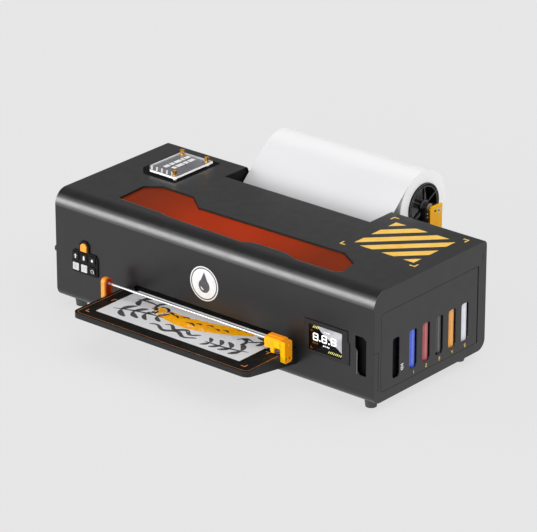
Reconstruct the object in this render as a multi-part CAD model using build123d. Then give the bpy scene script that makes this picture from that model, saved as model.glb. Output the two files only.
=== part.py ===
"""Desktop direct-to-film printer: a roll-fed film printer in a folded sheet-metal case.

Millimetres, +Z up, front towards -Y. Every piece is drawn about the middle of the case
(x 0 mid width, y 0 mid depth, z 0 on the case's underside), then moved by TO_ORIGIN so
that the row's origin is the bottom centre of the whole printer, on the plane it stands on.
"""
import os
from math import cos, radians, sin

from build123d import *

os.makedirs("parts", exist_ok=True)

# Case
HALF_W = 364.0
HALF_D = 156.5
CASE_H = 205.5
SHEET = 2.0
BEND_FRONT_TOP = 28.0
BEND_FRONT_BOTTOM = 18.0
BEND_REAR_TOP = 10.0
BEND_REAR_BOTTOM = 20.0
SIDE_EDGE_ROUND = 0.8
FRONT = -HALF_D
REAR = HALF_D
INNER_X = HALF_W - SHEET
INNER_FRONT = FRONT + SHEET
INNER_REAR = REAR - SHEET
TOP_UNDER = CASE_H - SHEET
TOUCH = 0.02
RUN_FIT = 0.05
AIR = 0.3

# Feet
FOOT_H = 19.0
FOOT_TOP_R = 12.5
FOOT_BOTTOM_R = 10.0
FOOT_X = 334.0
FOOT_FRONT_Y = -124.0
FOOT_REAR_Y = 121.5

# Film and its path, centred on FILM_X
FILM_X = -8.0
FILM_W = 329.0
FILM_T = 0.3
FILM_Z = 60.0
FILM_LEFT = FILM_X - FILM_W / 2
FILM_RIGHT = FILM_X + FILM_W / 2
FEED_SLOPE = 42.0
FEED_CORNER_Y = 4.0
FEED_BEND_R = 60.0
FILM_END_Y = -261.0

# Film roll
ROLL_Y = 244.0
ROLL_Z = 186.6
ROLL_R = 66.0
CORE_R = 42.8
CORE_BORE_R = 38.0
AXLE_R = 8.0
AXLE_HALF = 179.5
FLANGE_T = 3.0
SPOKES = 6

# Notch in the top's rear edge, where the film goes in
NOTCH_LEFT = -176.0
NOTCH_RIGHT = 160.0
NOTCH_FRONT = 88.0

# Film exit slot in the front
SLOT_LEFT = -176.0
SLOT_RIGHT = 160.0
SLOT_BOTTOM = 58.0
SLOT_TOP = 74.8
SLOT_CHAMFER = 5.0

# Film tray
TRAY_LEFT = -203.0
TRAY_RIGHT = 197.0
TRAY_FRONT = -290.0
TRAY_LIP_BOTTOM = 50.0
TRAY_REAR_BOTTOM = 31.0
TRAY_CORNER_R = 13.0
TRAY_SHEET = 3.0

# Cutter on its rod above the tray
CUTTER_Y = -190.0
CUTTER_Z = 79.5
CUTTER_ROD_R = 2.0
CUTTER_HEAD_LEFT = 161.5
CUTTER_HEAD_RIGHT = 195.5
CUTTER_HEAD_REAR = -178.0
LEFT_BRACKET_T = 12.0
LEFT_BRACKET_REAR = -183.5
RIGHT_BRACKET_T = 10.0
RIGHT_BRACKET_REAR = -181.5
BRACKET_FRONT = -201.0

# Sight window in the top: (x, y) corners of its opening
WINDOW = [
    (-252, -111), (-256, -40), (-227, -17.5), (-153, -20), (-113, -52), (212, -46.5),
    (253, -72), (261, -112), (249, -123), (165, -123.5), (136, -113), (66, -113),
    (45, -124), (-131, -119.5), (-149, -114.5),
]
WINDOW_CORNER_R = 2.5
WINDOW_GAP = 1.0
LID_Z = 198.5
LID_T = 3.2
LEDGE_Z = 195.3
LEDGE_T = 3.0
LEDGE_W = 4.0
FRAME_WALL = 1.6
LID_AXIS_Y = 4.0
LID_AXIS_Z = 200.0
LID_ARM_XS = (-80.0, 180.0)
LID_ARM_T = 4.0
LID_ARM_DIP = 64.0
LID_ARM_REACH = 66.0
LID_ARM_HALF = 3.0
LID_HUB_R = 3.2
LID_PIN_R = 1.5

# Ink door in the right side
DOOR_FRONT = -137.0
DOOR_REAR = 134.0
DOOR_BOTTOM = 18.0
DOOR_TOP = 163.0
DOOR_CORNER_R = 8.0
DOOR_GAP = 0.6
DOOR_AXIS_X = 361.0
DOOR_AXIS_Y = 130.4
DOOR_BARREL_R = 3.0
DOOR_PIN_R = 1.5
SIGHT_W = 21.0
SIGHT_BOTTOM = 34.5
SIGHT_TOP = 106.0
SIGHT_ROUND = 5.0
TANK_PITCH = 36.5
TANK_FIRST_Y = -48.5
TANKS = 5

# Waste bottle behind the front right corner, and its slots
WASTE_SLOT = [
    (324, 121), (341, 121), (348, 115), (348, 50), (334, 50), (328.5, 57), (328.5, 94), (324, 99),
]
WASTE_SIDE_Y = -95.5
WASTE_SIDE_W = 18.5
WASTE_SIDE_BOTTOM = 33.0
WASTE_SIDE_TOP = 107.0

# Push buttons
BUTTON = 14.0
BUTTON_XS = (-313.0, -293.0, -273.0)
BUTTON_ROWS = (93.8, 73.5)
BUTTON_FRONT = -160.6
BUTTON_REAR = -148.0
POWER_BUTTON_TOP = 122.0
POWER_BUTTON_BOTTOM = 106.5
POWER_BUTTON_FRONT = -162.0
KEY_PLATE = [
    (-322, 63), (-263, 63), (-261, 65), (-261, 98), (-266, 105), (-281.5, 105), (-281.5, 119.5),
    (-287.5, 126), (-298.5, 126), (-304.5, 119.5), (-304.5, 105), (-318, 105), (-322, 101),
]
KEY_PLATE_T = 2.5

# Display
DISPLAY_PLATE = [
    (214.2, 61.6), (312.2, 61.6), (312.2, 100.7), (308.2, 104.7), (308.2, 122.4), (214.2, 122.4),
]
DISPLAY_PLATE_T = 1.2
SCREEN_LEFT = 224.0
SCREEN_RIGHT = 296.0
SCREEN_BOTTOM = 67.3
SCREEN_TOP = 114.8
SCREEN_LAP = 1.5

# Print works between the two frame plates
FRAME_LEFT = -256.0
FRAME_RIGHT = 283.0
FRAME_T = 3.0
ROLLER_LEFT = FRAME_LEFT + FRAME_T + 1.0
ROLLER_RIGHT = FRAME_RIGHT - 1.0
FEED_Y = -35.0
FEED_R = 10.0
PINCH_R = 6.0
EXIT_Y = -125.0
EXIT_R = 8.0
SHAFT_Y = -66.0
SHAFT_Z = 104.0
SHAFT_R = 5.0
CARRIAGE_X = 225.0
CARRIAGE_HALF = 55.0
PULLEY_Z = 112.0
PULLEY_R = 6.0
PULLEY_XS = (-232.0, 270.0)
BELT_IN_R = 6.3
BELT_OUT_R = 7.6
BELT_FRONT = -51.5
BELT_REAR = -46.0
RAIL_FRONT = -42.0
RAIL_REAR = -30.0

# Power knob on the left side
KNOB_Y = -141.0
KNOB_Z = 87.0
KNOB_R = 6.5
KNOB_END = -377.0

FEED_Z = FILM_Z - AIR - FEED_R
PINCH_Z = FILM_Z + FILM_T + AIR + PINCH_R
EXIT_Z = FILM_Z - AIR - EXIT_R
TO_ORIGIN = Pos(-(KNOB_END + HALF_W) / 2, -(TRAY_FRONT + ROLL_Y + ROLL_R) / 2, FOOT_H)


def block(x0, x1, y0, y1, z0, z1):
    """A box between two corners."""
    return Pos((x0 + x1) / 2, (y0 + y1) / 2, (z0 + z1) / 2) * Box(x1 - x0, y1 - y0, z1 - z0)


def rod_x(x0, x1, y, z, r):
    """A round bar along X."""
    return Pos((x0 + x1) / 2, y, z) * Rot(0, 90, 0) * Cylinder(r, x1 - x0)


def rod_y(y0, y1, x, z, r):
    """A round bar along Y."""
    return Pos(x, (y0 + y1) / 2, z) * Rot(90, 0, 0) * Cylinder(r, y1 - y0)


def rod_z(z0, z1, x, y, r):
    """A round bar along Z."""
    return Pos(x, y, (z0 + z1) / 2) * Cylinder(r, z1 - z0)


def outline(points, round_r=0.0):
    """A flat face from its corners, with one radius on all of them."""
    face = make_face(Polyline(*points, close=True))
    return fillet(face.vertices(), round_r) if round_r else face


def prism_x(face, x0, x1):
    """A (y, z) face drawn out along X."""
    return Pos(x0, 0, 0) * extrude(Plane.YZ * face, amount=x1 - x0)


def prism_y(face, y0, y1):
    """An (x, z) face drawn out along Y."""
    return Pos(0, y1, 0) * extrude(Plane.XZ * face, amount=y1 - y0)


def prism_z(face, z0, z1):
    """An (x, y) face drawn out along Z."""
    return Pos(0, 0, z0) * extrude(face, amount=z1 - z0)


def rounded(width, height, r, x=0.0, y=0.0):
    """A rectangle with round corners, centred on (x, y)."""
    return Pos(x, y) * RectangleRounded(width, height, r)


def feed_z(y):
    """Height of the film's underside on its straight run from the roll."""
    return FILM_Z + (y - FEED_CORNER_Y) * sin(radians(FEED_SLOPE)) / cos(radians(FEED_SLOPE))


def save(node, *pieces):
    """Write one node, of one solid or a group of separate solids, in the row's frame."""
    moved = [TO_ORIGIN * piece for piece in pieces]
    solids = [solid for piece in moved for solid in piece.solids()]
    shape = solids[0] if len(solids) == 1 else Compound(children=solids)
    export_step(shape, "parts/" + node + ".step")


def case_profile(inset):
    """The case seen from the side, in (y, z), drawn in by inset."""
    face = Pos(0, CASE_H / 2) * Rectangle(2 * (HALF_D - inset), CASE_H - 2 * inset)
    corners = [
        ((FRONT, CASE_H), BEND_FRONT_TOP), ((FRONT, 0), BEND_FRONT_BOTTOM),
        ((REAR, CASE_H), BEND_REAR_TOP), ((REAR, 0), BEND_REAR_BOTTOM),
    ]
    for (y, z), radius in corners:
        corner = face.vertices().sort_by_distance(Vector(y, z, 0))[0]
        face = fillet(corner, radius - inset)
    return face


def case_wrap():
    """The folded sheet all round the case, from which the four panels are cut."""
    ring = case_profile(0) - case_profile(SHEET)
    return prism_x(ring, -INNER_X, INNER_X)


def make_case(wrap):
    """Front, top, rear and base panels and the two flat sides."""
    front_top_y = FRONT + BEND_FRONT_TOP
    front_bottom_y = FRONT + BEND_FRONT_BOTTOM
    rear_bottom_y = REAR - BEND_REAR_BOTTOM
    rear_top_z = CASE_H - BEND_REAR_TOP
    mid_z = CASE_H / 2

    front = wrap & block(-HALF_W, HALF_W, FRONT, front_top_y, mid_z, CASE_H)
    front += wrap & block(-HALF_W, HALF_W, FRONT, front_bottom_y, 0, mid_z)
    slot = outline([
        (SLOT_LEFT, SLOT_BOTTOM), (SLOT_RIGHT, SLOT_BOTTOM), (SLOT_RIGHT, SLOT_TOP),
        (SLOT_LEFT + SLOT_CHAMFER, SLOT_TOP), (SLOT_LEFT, SLOT_TOP - SLOT_CHAMFER),
    ])
    screen_cut = Pos((SCREEN_LEFT + SCREEN_RIGHT) / 2, (SCREEN_BOTTOM + SCREEN_TOP) / 2) * Rectangle(
        SCREEN_RIGHT - SCREEN_LEFT + 2 * SCREEN_LAP + AIR, SCREEN_TOP - SCREEN_BOTTOM + 2 * SCREEN_LAP + AIR)
    key_cut = rounded(56, 37, 2, BUTTON_XS[1], sum(BUTTON_ROWS) / 2)
    power_cut = rounded(17, 18, 2, BUTTON_XS[1], (POWER_BUTTON_TOP + POWER_BUTTON_BOTTOM) / 2 + 0.5)
    for cut in (slot, screen_cut, key_cut, power_cut, outline(WASTE_SLOT, 1.5)):
        front -= prism_y(cut, FRONT - SHEET, INNER_FRONT + SHEET)
    save("front_panel", front)

    top = wrap & block(-HALF_W, HALF_W, front_top_y, REAR, rear_top_z, CASE_H)
    top -= block(NOTCH_LEFT, NOTCH_RIGHT, NOTCH_FRONT, REAR + SHEET, rear_top_z - SHEET, CASE_H + SHEET)
    top -= prism_z(outline(WINDOW, WINDOW_CORNER_R), TOP_UNDER - SHEET, CASE_H + SHEET)
    save("top_panel", top)

    rear = wrap & block(-HALF_W, HALF_W, rear_bottom_y, REAR, 0, rear_top_z)
    rear -= block(-325, -295, INNER_REAR - 1, REAR + 1, 28.5, 50.5)
    rear -= block(-277, -261, INNER_REAR - 1, REAR + 1, 72, 85)
    for column in range(9):
        x = 200 + 12 * column
        rear -= prism_y(rounded(5, 70, 2.4, x, 95), INNER_REAR - 1, REAR + 1)
    save("rear_panel", rear)

    save("base_pan", wrap & block(-HALF_W, HALF_W, front_bottom_y, rear_bottom_y, 0, SHEET))


def make_sides():
    """The flat left side, with the switch hole, and the right side with its door opening."""
    left = prism_x(case_profile(0), -HALF_W, -INNER_X)
    left = fillet(left.faces().sort_by(Axis.X)[0].edges(), SIDE_EDGE_ROUND)
    left -= rod_x(-HALF_W - 1, -INNER_X + 1, KNOB_Y, KNOB_Z, 5.0)
    save("side_panel_left", left)

    right = prism_x(case_profile(0), INNER_X, HALF_W)
    right = fillet(right.faces().sort_by(Axis.X)[-1].edges(), SIDE_EDGE_ROUND)
    opening = rounded(
        DOOR_REAR - DOOR_FRONT, DOOR_TOP - DOOR_BOTTOM, DOOR_CORNER_R,
        (DOOR_REAR + DOOR_FRONT) / 2, (DOOR_TOP + DOOR_BOTTOM) / 2,
    )
    right -= prism_x(opening, INNER_X - 1, HALF_W + 1)
    right -= block(INNER_X - 1, HALF_W + 1, DOOR_REAR - DOOR_CORNER_R, DOOR_REAR, DOOR_BOTTOM, DOOR_TOP)
    lug_half = 5.0
    lug_h = 5.0
    lugs = []
    for z0 in (DOOR_BOTTOM - lug_h, DOOR_TOP):
        lug = block(
            DOOR_AXIS_X - lug_half, INNER_X, DOOR_AXIS_Y - lug_half, DOOR_AXIS_Y + lug_half, z0, z0 + lug_h)
        lugs.append(lug - rod_z(z0 - 1, z0 + lug_h + 1, DOOR_AXIS_X, DOOR_AXIS_Y, DOOR_PIN_R + TOUCH))
    pin_half_cut = rod_z(DOOR_BOTTOM - lug_h, DOOR_TOP + lug_h, DOOR_AXIS_X, DOOR_AXIS_Y, DOOR_PIN_R)
    save("side_panel_right", right, *lugs, pin_half_cut)


def make_feet():
    """Four tapered rubber feet."""
    feet = []
    for x in (-FOOT_X, FOOT_X):
        for y in (FOOT_FRONT_Y, FOOT_REAR_Y):
            foot = Pos(x, y, -FOOT_H / 2) * Cone(FOOT_BOTTOM_R, FOOT_TOP_R, FOOT_H)
            feet.append(foot)
    save("feet", *feet)


def make_window():
    """The hinged sight window: its frame in the top, the orange pane and its goose-neck arms."""
    opening = outline(WINDOW, WINDOW_CORNER_R)
    outer = offset(opening, FRAME_WALL)
    ledge = offset(opening, -LEDGE_W)
    frame = prism_z(outer - opening, LEDGE_Z, TOP_UNDER)
    frame += prism_z(outer - ledge, LEDGE_Z, LEDGE_Z + LEDGE_T - AIR)
    lug_half = 4.0
    lug_t = 3.5
    gap = 0.5
    hinges = []
    for x in LID_ARM_XS:
        for side in (-1, 1):
            x0 = x + side * (LID_ARM_T / 2 + gap)
            x1 = x0 + side * lug_t
            lug = block(
                min(x0, x1), max(x0, x1), LID_AXIS_Y - lug_half, LID_AXIS_Y + lug_half,
                LID_AXIS_Z - lug_half, TOP_UNDER)
            hinges.append(lug - rod_x(x - 9, x + 9, LID_AXIS_Y, LID_AXIS_Z, LID_PIN_R + TOUCH))
        hinges.append(rod_x(x - 6, x + 6, LID_AXIS_Y, LID_AXIS_Z, LID_PIN_R))
    save("window_frame", frame, *hinges)

    save("window_lid", prism_z(offset(opening, -WINDOW_GAP), LID_Z, LID_Z + LID_T))

    pad_half = 6.0
    pad_t = 2.5
    neck_y = LID_AXIS_Y - LID_ARM_REACH
    low_z = LID_AXIS_Z - LID_ARM_DIP
    half = LID_ARM_HALF
    neck = make_face(Polyline(
        (LID_AXIS_Y + half, LID_AXIS_Z), (LID_AXIS_Y + half, low_z - half), (neck_y - half, low_z - half),
        (neck_y - half, LID_Z), (neck_y + half, LID_Z), (neck_y + half, low_z + half),
        (LID_AXIS_Y - half, low_z + half), (LID_AXIS_Y - half, LID_AXIS_Z), close=True,
    ))
    arms = []
    for x in LID_ARM_XS:
        arm = prism_x(neck, x - LID_ARM_T / 2, x + LID_ARM_T / 2)
        arm += rod_x(x - LID_ARM_T / 2, x + LID_ARM_T / 2, LID_AXIS_Y, LID_AXIS_Z, LID_HUB_R)
        arm += block(x - pad_half, x + pad_half, neck_y - 40, neck_y + half, LID_Z - pad_t, LID_Z)
        arm -= rod_x(x - 9, x + 9, LID_AXIS_Y, LID_AXIS_Z, LID_PIN_R + RUN_FIT)
        arms.append(arm)
    save("lid_arms", *arms)


def make_ink_door():
    """The side door with its five sight slots, the waste slot and the hinge barrel."""
    front = DOOR_FRONT + DOOR_GAP
    bottom = DOOR_BOTTOM + DOOR_GAP
    top = DOOR_TOP - DOOR_GAP
    corner = DOOR_CORNER_R - DOOR_GAP
    plate_face = rounded(
        DOOR_AXIS_Y - front + corner, top - bottom, corner,
        (DOOR_AXIS_Y + corner + front) / 2, (top + bottom) / 2,
    )
    door = prism_x(plate_face, INNER_X, HALF_W)
    door -= block(INNER_X - 1, HALF_W + 1, DOOR_AXIS_Y, DOOR_REAR + 9, 0, CASE_H)
    door += rod_z(bottom, top, DOOR_AXIS_X, DOOR_AXIS_Y, DOOR_BARREL_R)
    sight_mid = (SIGHT_BOTTOM + SIGHT_TOP) / 2
    for i in range(TANKS):
        y = TANK_FIRST_Y + i * TANK_PITCH
        slot = rounded(SIGHT_W, SIGHT_TOP - SIGHT_BOTTOM, SIGHT_ROUND, y, sight_mid)
        door -= prism_x(slot, INNER_X - 1, HALF_W + 1)
    waste = rounded(
        WASTE_SIDE_W, WASTE_SIDE_TOP - WASTE_SIDE_BOTTOM, SIGHT_ROUND,
        WASTE_SIDE_Y, (WASTE_SIDE_TOP + WASTE_SIDE_BOTTOM) / 2,
    )
    door -= prism_x(waste, INNER_X - 1, HALF_W + 1)
    door -= rod_z(0, CASE_H, DOOR_AXIS_X, DOOR_AXIS_Y, DOOR_PIN_R + RUN_FIT)
    save("ink_door", door)


def make_name_plate():
    """The clear chamfered plate on its standoffs, at the left of the top."""
    left, right, front, rear = -301.0, -226.5, 12.5, 116.0
    cut_x, cut_y = 14.0, 16.0
    z0 = CASE_H + 4.0
    plate = outline([
        (left, front + cut_y), (left + cut_x, front), (right - 4, front), (right, front + 4),
        (right, rear), (left, rear),
    ])
    posts = [rod_z(CASE_H, z0, x, y, 3.5) for x, y in ((-233, 19), (-233, 107), (-291, 106))]
    save("name_plate", prism_z(plate, z0, z0 + 4.0), *posts)


def make_controls():
    """Key plate and seven sprung push buttons, the display and its plate."""
    key_face = outline(KEY_PLATE)
    hole = BUTTON + 2 * AIR
    for z in BUTTON_ROWS:
        for x in BUTTON_XS:
            key_face -= rounded(hole, hole, 1.3, x, z)
    power_mid = (POWER_BUTTON_TOP + POWER_BUTTON_BOTTOM) / 2
    power_h = POWER_BUTTON_TOP - POWER_BUTTON_BOTTOM
    key_face -= power_outline(BUTTON + 2 * AIR, power_h + 2 * AIR, power_mid)
    save("key_plate", prism_y(key_face, FRONT - KEY_PLATE_T, FRONT))

    power = prism_y(power_outline(BUTTON, power_h, power_mid), POWER_BUTTON_FRONT, BUTTON_REAR)
    save("power_button", fillet(power.faces().sort_by(Axis.Y)[0].edges(), 1.0))
    number = 0
    for z in BUTTON_ROWS:
        for x in BUTTON_XS:
            number += 1
            button = prism_y(rounded(BUTTON, BUTTON, 1.0, x, z), BUTTON_FRONT, BUTTON_REAR)
            save("button_" + str(number), fillet(button.faces().sort_by(Axis.Y)[0].edges(), 0.8))

    window = rounded(
        SCREEN_RIGHT - SCREEN_LEFT, SCREEN_TOP - SCREEN_BOTTOM, 1.0,
        (SCREEN_LEFT + SCREEN_RIGHT) / 2, (SCREEN_TOP + SCREEN_BOTTOM) / 2,
    )
    plate = prism_y(outline(DISPLAY_PLATE, 1.5) - window, FRONT - DISPLAY_PLATE_T, FRONT)
    save("display_plate", plate)
    save("display_screen", block(
        SCREEN_LEFT - SCREEN_LAP, SCREEN_RIGHT + SCREEN_LAP, FRONT, FRONT + 9,
        SCREEN_BOTTOM - SCREEN_LAP, SCREEN_TOP + SCREEN_LAP))


def power_outline(width, height, mid_z):
    """A square foot under a half-round top, in (x, z)."""
    half = width / 2
    bottom = mid_z - height / 2
    shoulder = mid_z + height / 2 - half
    x = BUTTON_XS[1]
    square = Pos(x, (bottom + shoulder) / 2) * Rectangle(width, shoulder - bottom)
    return square + Pos(x, shoulder) * Circle(half)


def make_tray():
    """The wedge-shaped film tray, open underneath."""
    side = outline([
        (FRONT, FILM_Z), (TRAY_FRONT, FILM_Z), (TRAY_FRONT, TRAY_LIP_BOTTOM), (FRONT, TRAY_REAR_BOTTOM),
    ])
    body = prism_x(side, TRAY_LEFT, TRAY_RIGHT)
    corners = body.edges().filter_by(Axis.Z).group_by(Axis.Y)[0]
    body = fillet(corners, TRAY_CORNER_R)
    inner = block(
        TRAY_LEFT + TRAY_SHEET, TRAY_RIGHT - TRAY_SHEET, TRAY_FRONT + TRAY_SHEET, FRONT - TRAY_SHEET,
        0, FILM_Z - TRAY_SHEET)
    inner = fillet(inner.edges().filter_by(Axis.Z).group_by(Axis.Y)[0], TRAY_CORNER_R - TRAY_SHEET)
    save("film_tray", body - inner)


def make_cutter():
    """The cross cutter: two brackets on the tray's sides, the rod, the sliding head and its blade."""
    left_x0 = TRAY_LEFT - LEFT_BRACKET_T
    right_x1 = TRAY_RIGHT + RIGHT_BRACKET_T
    left_depth = LEFT_BRACKET_REAR - BRACKET_FRONT
    left_y = (LEFT_BRACKET_REAR + BRACKET_FRONT) / 2
    left_h, left_z, rim, pocket = 43.0, 68.5, 2.2, 3.0
    left = prism_x(rounded(left_depth, left_h, 7, left_y, left_z), left_x0, TRAY_LEFT)
    left -= prism_x(
        rounded(left_depth - 2 * rim, left_h - 2 * rim, 5, left_y, left_z), TRAY_LEFT - pocket, TRAY_LEFT + 1)
    right = prism_x(outline([
        (BRACKET_FRONT, 50), (BRACKET_FRONT + 2.5, 47.5), (RIGHT_BRACKET_REAR - 3, 47.5),
        (RIGHT_BRACKET_REAR, 50.5), (RIGHT_BRACKET_REAR, 85), (RIGHT_BRACKET_REAR - 3, 88), (BRACKET_FRONT, 88),
    ]), TRAY_RIGHT, right_x1)
    hole = rod_x(left_x0 - 1, right_x1 + 1, CUTTER_Y, CUTTER_Z, CUTTER_ROD_R + TOUCH)
    screw_slots = [
        block(right_x1 - 3, right_x1 + 1, y - 1.6, y + 1.6, 53, 57.8) for y in (-196, -187.5)
    ]
    save("cutter_brackets", left - hole, right - hole - screw_slots[0] - screw_slots[1])
    save("cutter_rod", rod_x(left_x0 + 2, right_x1 - 2, CUTTER_Y, CUTTER_Z, CUTTER_ROD_R))

    head = block(
        CUTTER_HEAD_LEFT, CUTTER_HEAD_RIGHT, BRACKET_FRONT, CUTTER_HEAD_REAR, FILM_Z + 1.5, 88)
    head = chamfer(head.edges().filter_by(Axis.X).group_by(Axis.Z)[-1], 2.5)
    head -= block(CUTTER_HEAD_LEFT - 1, CUTTER_HEAD_RIGHT + 1, -193, -191.2, 86, 89)
    head -= block(
        CUTTER_HEAD_LEFT - 1, CUTTER_HEAD_LEFT + 14, BRACKET_FRONT - 1, CUTTER_HEAD_REAR + 1, FILM_Z, 69)
    blade_x = 189.0
    recess_y = BRACKET_FRONT + 5.0
    head -= block(blade_x - 6.5, CUTTER_HEAD_RIGHT + 1, BRACKET_FRONT - 1, recess_y, FILM_Z, 72.5)
    bore = rod_x(
        CUTTER_HEAD_LEFT - 1, CUTTER_HEAD_RIGHT + 1, CUTTER_Y, CUTTER_Z, CUTTER_ROD_R + RUN_FIT)
    save("cutter_head", head - bore)
    blade = rod_y(recess_y - 4, recess_y - 3.4, blade_x, 66.2, 5.2)
    blade += rod_y(recess_y - 4.6, recess_y, blade_x, 66.2, 2.0)
    save("cutter_blade", blade)


def make_exit_rod():
    """The black rod that holds the film down just inside the exit slot, on two small blocks."""
    rod_r = 5.0
    y, z = -147.0, FILM_Z + 1.2 + rod_r
    reach = 6.0
    half = 7.0
    ends = []
    for x0 in (SLOT_LEFT - reach - 2, SLOT_RIGHT + 2):
        end = block(x0, x0 + reach, INNER_FRONT, y + half, z - half, z + half)
        ends.append(end - rod_x(x0 - 1, x0 + reach + 1, y, z, rod_r + TOUCH))
    save("exit_guide_rod", rod_x(SLOT_LEFT - reach, SLOT_RIGHT + reach, y, z, rod_r), *ends)


def make_film():
    """The film on its way: off the roll, down to the feed nip, flat to the tray."""
    slope = radians(FEED_SLOPE)
    lift = ROLL_R + 0.5
    leave_y = ROLL_Y - lift * sin(slope)
    # the straight run is laid so that its underside clears the roll by the same lift
    leave_z = feed_z(leave_y)
    path = FilletPolyline(
        (leave_y, leave_z), (FEED_CORNER_Y, FILM_Z), (FILM_END_Y, FILM_Z), radius=FEED_BEND_R)
    upper = FilletPolyline(
        (leave_y - FILM_T * sin(slope), leave_z + FILM_T * cos(slope)),
        (FEED_CORNER_Y - FILM_T * (1 - cos(slope)) / sin(slope), FILM_Z + FILM_T),
        (FILM_END_Y, FILM_Z + FILM_T), radius=FEED_BEND_R - FILM_T)
    ends = [Line(path @ 0, upper @ 0), Line(path @ 1, upper @ 1)]
    strip = make_face([*path.edges(), *upper.edges(), *[end.edge() for end in ends]])
    save("film_web", prism_x(strip, FILM_LEFT, FILM_RIGHT))


def make_roll():
    """The film roll on its core, the spoked end flanges and the axle."""
    wound = rod_x(FILM_LEFT, FILM_RIGHT, ROLL_Y, ROLL_Z, ROLL_R)
    wound -= rod_x(FILM_LEFT - 1, FILM_RIGHT + 1, ROLL_Y, ROLL_Z, CORE_R)
    core = rod_x(FILM_LEFT, FILM_RIGHT, ROLL_Y, ROLL_Z, CORE_R)
    core -= rod_x(FILM_LEFT - 1, FILM_RIGHT + 1, ROLL_Y, ROLL_Z, CORE_BORE_R)
    save("film_roll", wound, core)
    save("roll_axle", rod_x(FILM_X - AXLE_HALF, FILM_X + AXLE_HALF, ROLL_Y, ROLL_Z, AXLE_R))

    rim_w = 6.8
    plug_t = 3.0
    plug_depth = 20.0
    hub_r = 13.0
    spoke_w = 4.0
    face = Circle(CORE_R) - Circle(CORE_R - rim_w)
    face += Circle(hub_r)
    for i in range(SPOKES):
        face += Rot(0, 0, 30 + i * 360 / SPOKES) * Pos(CORE_R / 2, 0) * Rectangle(CORE_R - 4, spoke_w)
    face -= Circle(AXLE_R)
    flanges = []
    for side, end_x in ((1, FILM_RIGHT), (-1, FILM_LEFT)):
        outer_x = end_x + side * FLANGE_T
        inner_x = end_x - side * plug_depth
        disc = Pos(0, ROLL_Y, ROLL_Z) * prism_x(face, min(end_x, outer_x), max(end_x, outer_x))
        plug = rod_x(min(end_x, inner_x), max(end_x, inner_x), ROLL_Y, ROLL_Z, CORE_BORE_R)
        plug -= rod_x(
            min(end_x, inner_x) - 1, max(end_x, inner_x) + 1, ROLL_Y, ROLL_Z, CORE_BORE_R - plug_t)
        flanges.append(disc + plug)
    save("spool_flanges", *flanges)


def make_roll_holder():
    """The two arms on the rear panel and the black saddles that the axle turns in."""
    right_x = FILM_RIGHT + 15.5
    arm_t = 4.0
    tab_w = 24.0
    tab_t = 3.0
    bottom, beam_top, post_top = 90.0, 128.0, 187.5
    post_front, post_rear = 240.0, 275.0
    ear_corner = 3.5
    profile = outline([
        (REAR, bottom), (post_rear - 15, bottom), (post_rear, bottom + 15), (post_rear, post_top),
        (post_front + ear_corner, post_top), (post_front, post_top - ear_corner),
        (post_front, beam_top + 12), (post_front - 12, beam_top), (REAR, beam_top),
    ])
    hole_y, hole_z, hole_r = 254.3, 178.2, 2.6
    saddle_front, saddle_rear, saddle_bottom = 230.0, 266.0, 160.0
    saddle_face = outline([
        (saddle_front, saddle_bottom), (saddle_rear, saddle_bottom), (saddle_rear, post_top),
        (saddle_front, post_top),
    ])
    saddle_face -= Pos(ROLL_Y, ROLL_Z) * Circle(AXLE_R + AIR)
    saddle_face -= Pos(ROLL_Y, ROLL_Z + 10) * Rectangle(2 * (AXLE_R + AIR), 20)
    arms = []
    saddles = []
    for side in (1, -1):
        inner = FILM_X + side * (right_x - FILM_X)
        outer = inner + side * arm_t
        tab = inner + side * tab_w
        arm = prism_x(profile, min(inner, outer), max(inner, outer))
        arm -= rod_x(min(inner, outer) - 1, max(inner, outer) + 1, hole_y, hole_z, hole_r)
        plate = block(min(inner, tab), max(inner, tab), REAR, REAR + tab_t, bottom, beam_top)
        for z in (bottom + 9, beam_top - 9):
            plate -= rod_y(REAR - 1, REAR + tab_t + 1, tab - side * 8, z, 2.25)
        arms.append(arm + plate)
        saddle_end = inner - side * 10.5
        saddles.append(prism_x(saddle_face, min(inner, saddle_end), max(inner, saddle_end)))
    save("roll_arms", *arms)
    save("axle_saddles", *saddles)


def make_feed_well():
    """The sloping film guide under the notch and the three walls round it."""
    drop = 5.0
    low_y = 18.0
    guide_t = 2.5
    guide = outline([
        (INNER_REAR, feed_z(INNER_REAR) - drop), (low_y, feed_z(low_y) - drop),
        (low_y, feed_z(low_y) - drop - guide_t), (INNER_REAR, feed_z(INNER_REAR) - drop - guide_t),
    ])
    cheek = outline([
        (NOTCH_FRONT - SHEET, TOP_UNDER), (INNER_REAR - BEND_REAR_TOP, TOP_UNDER),
        (INNER_REAR, TOP_UNDER - BEND_REAR_TOP), (INNER_REAR, 186), (NOTCH_FRONT - SHEET, 128),
    ])
    save(
        "feed_well",
        prism_x(guide, NOTCH_LEFT + 1, NOTCH_RIGHT - 1),
        prism_x(cheek, NOTCH_LEFT - SHEET, NOTCH_LEFT),
        prism_x(cheek, NOTCH_RIGHT, NOTCH_RIGHT + SHEET),
        block(NOTCH_LEFT, NOTCH_RIGHT, NOTCH_FRONT - SHEET, NOTCH_FRONT, 150, TOP_UNDER),
    )


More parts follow.
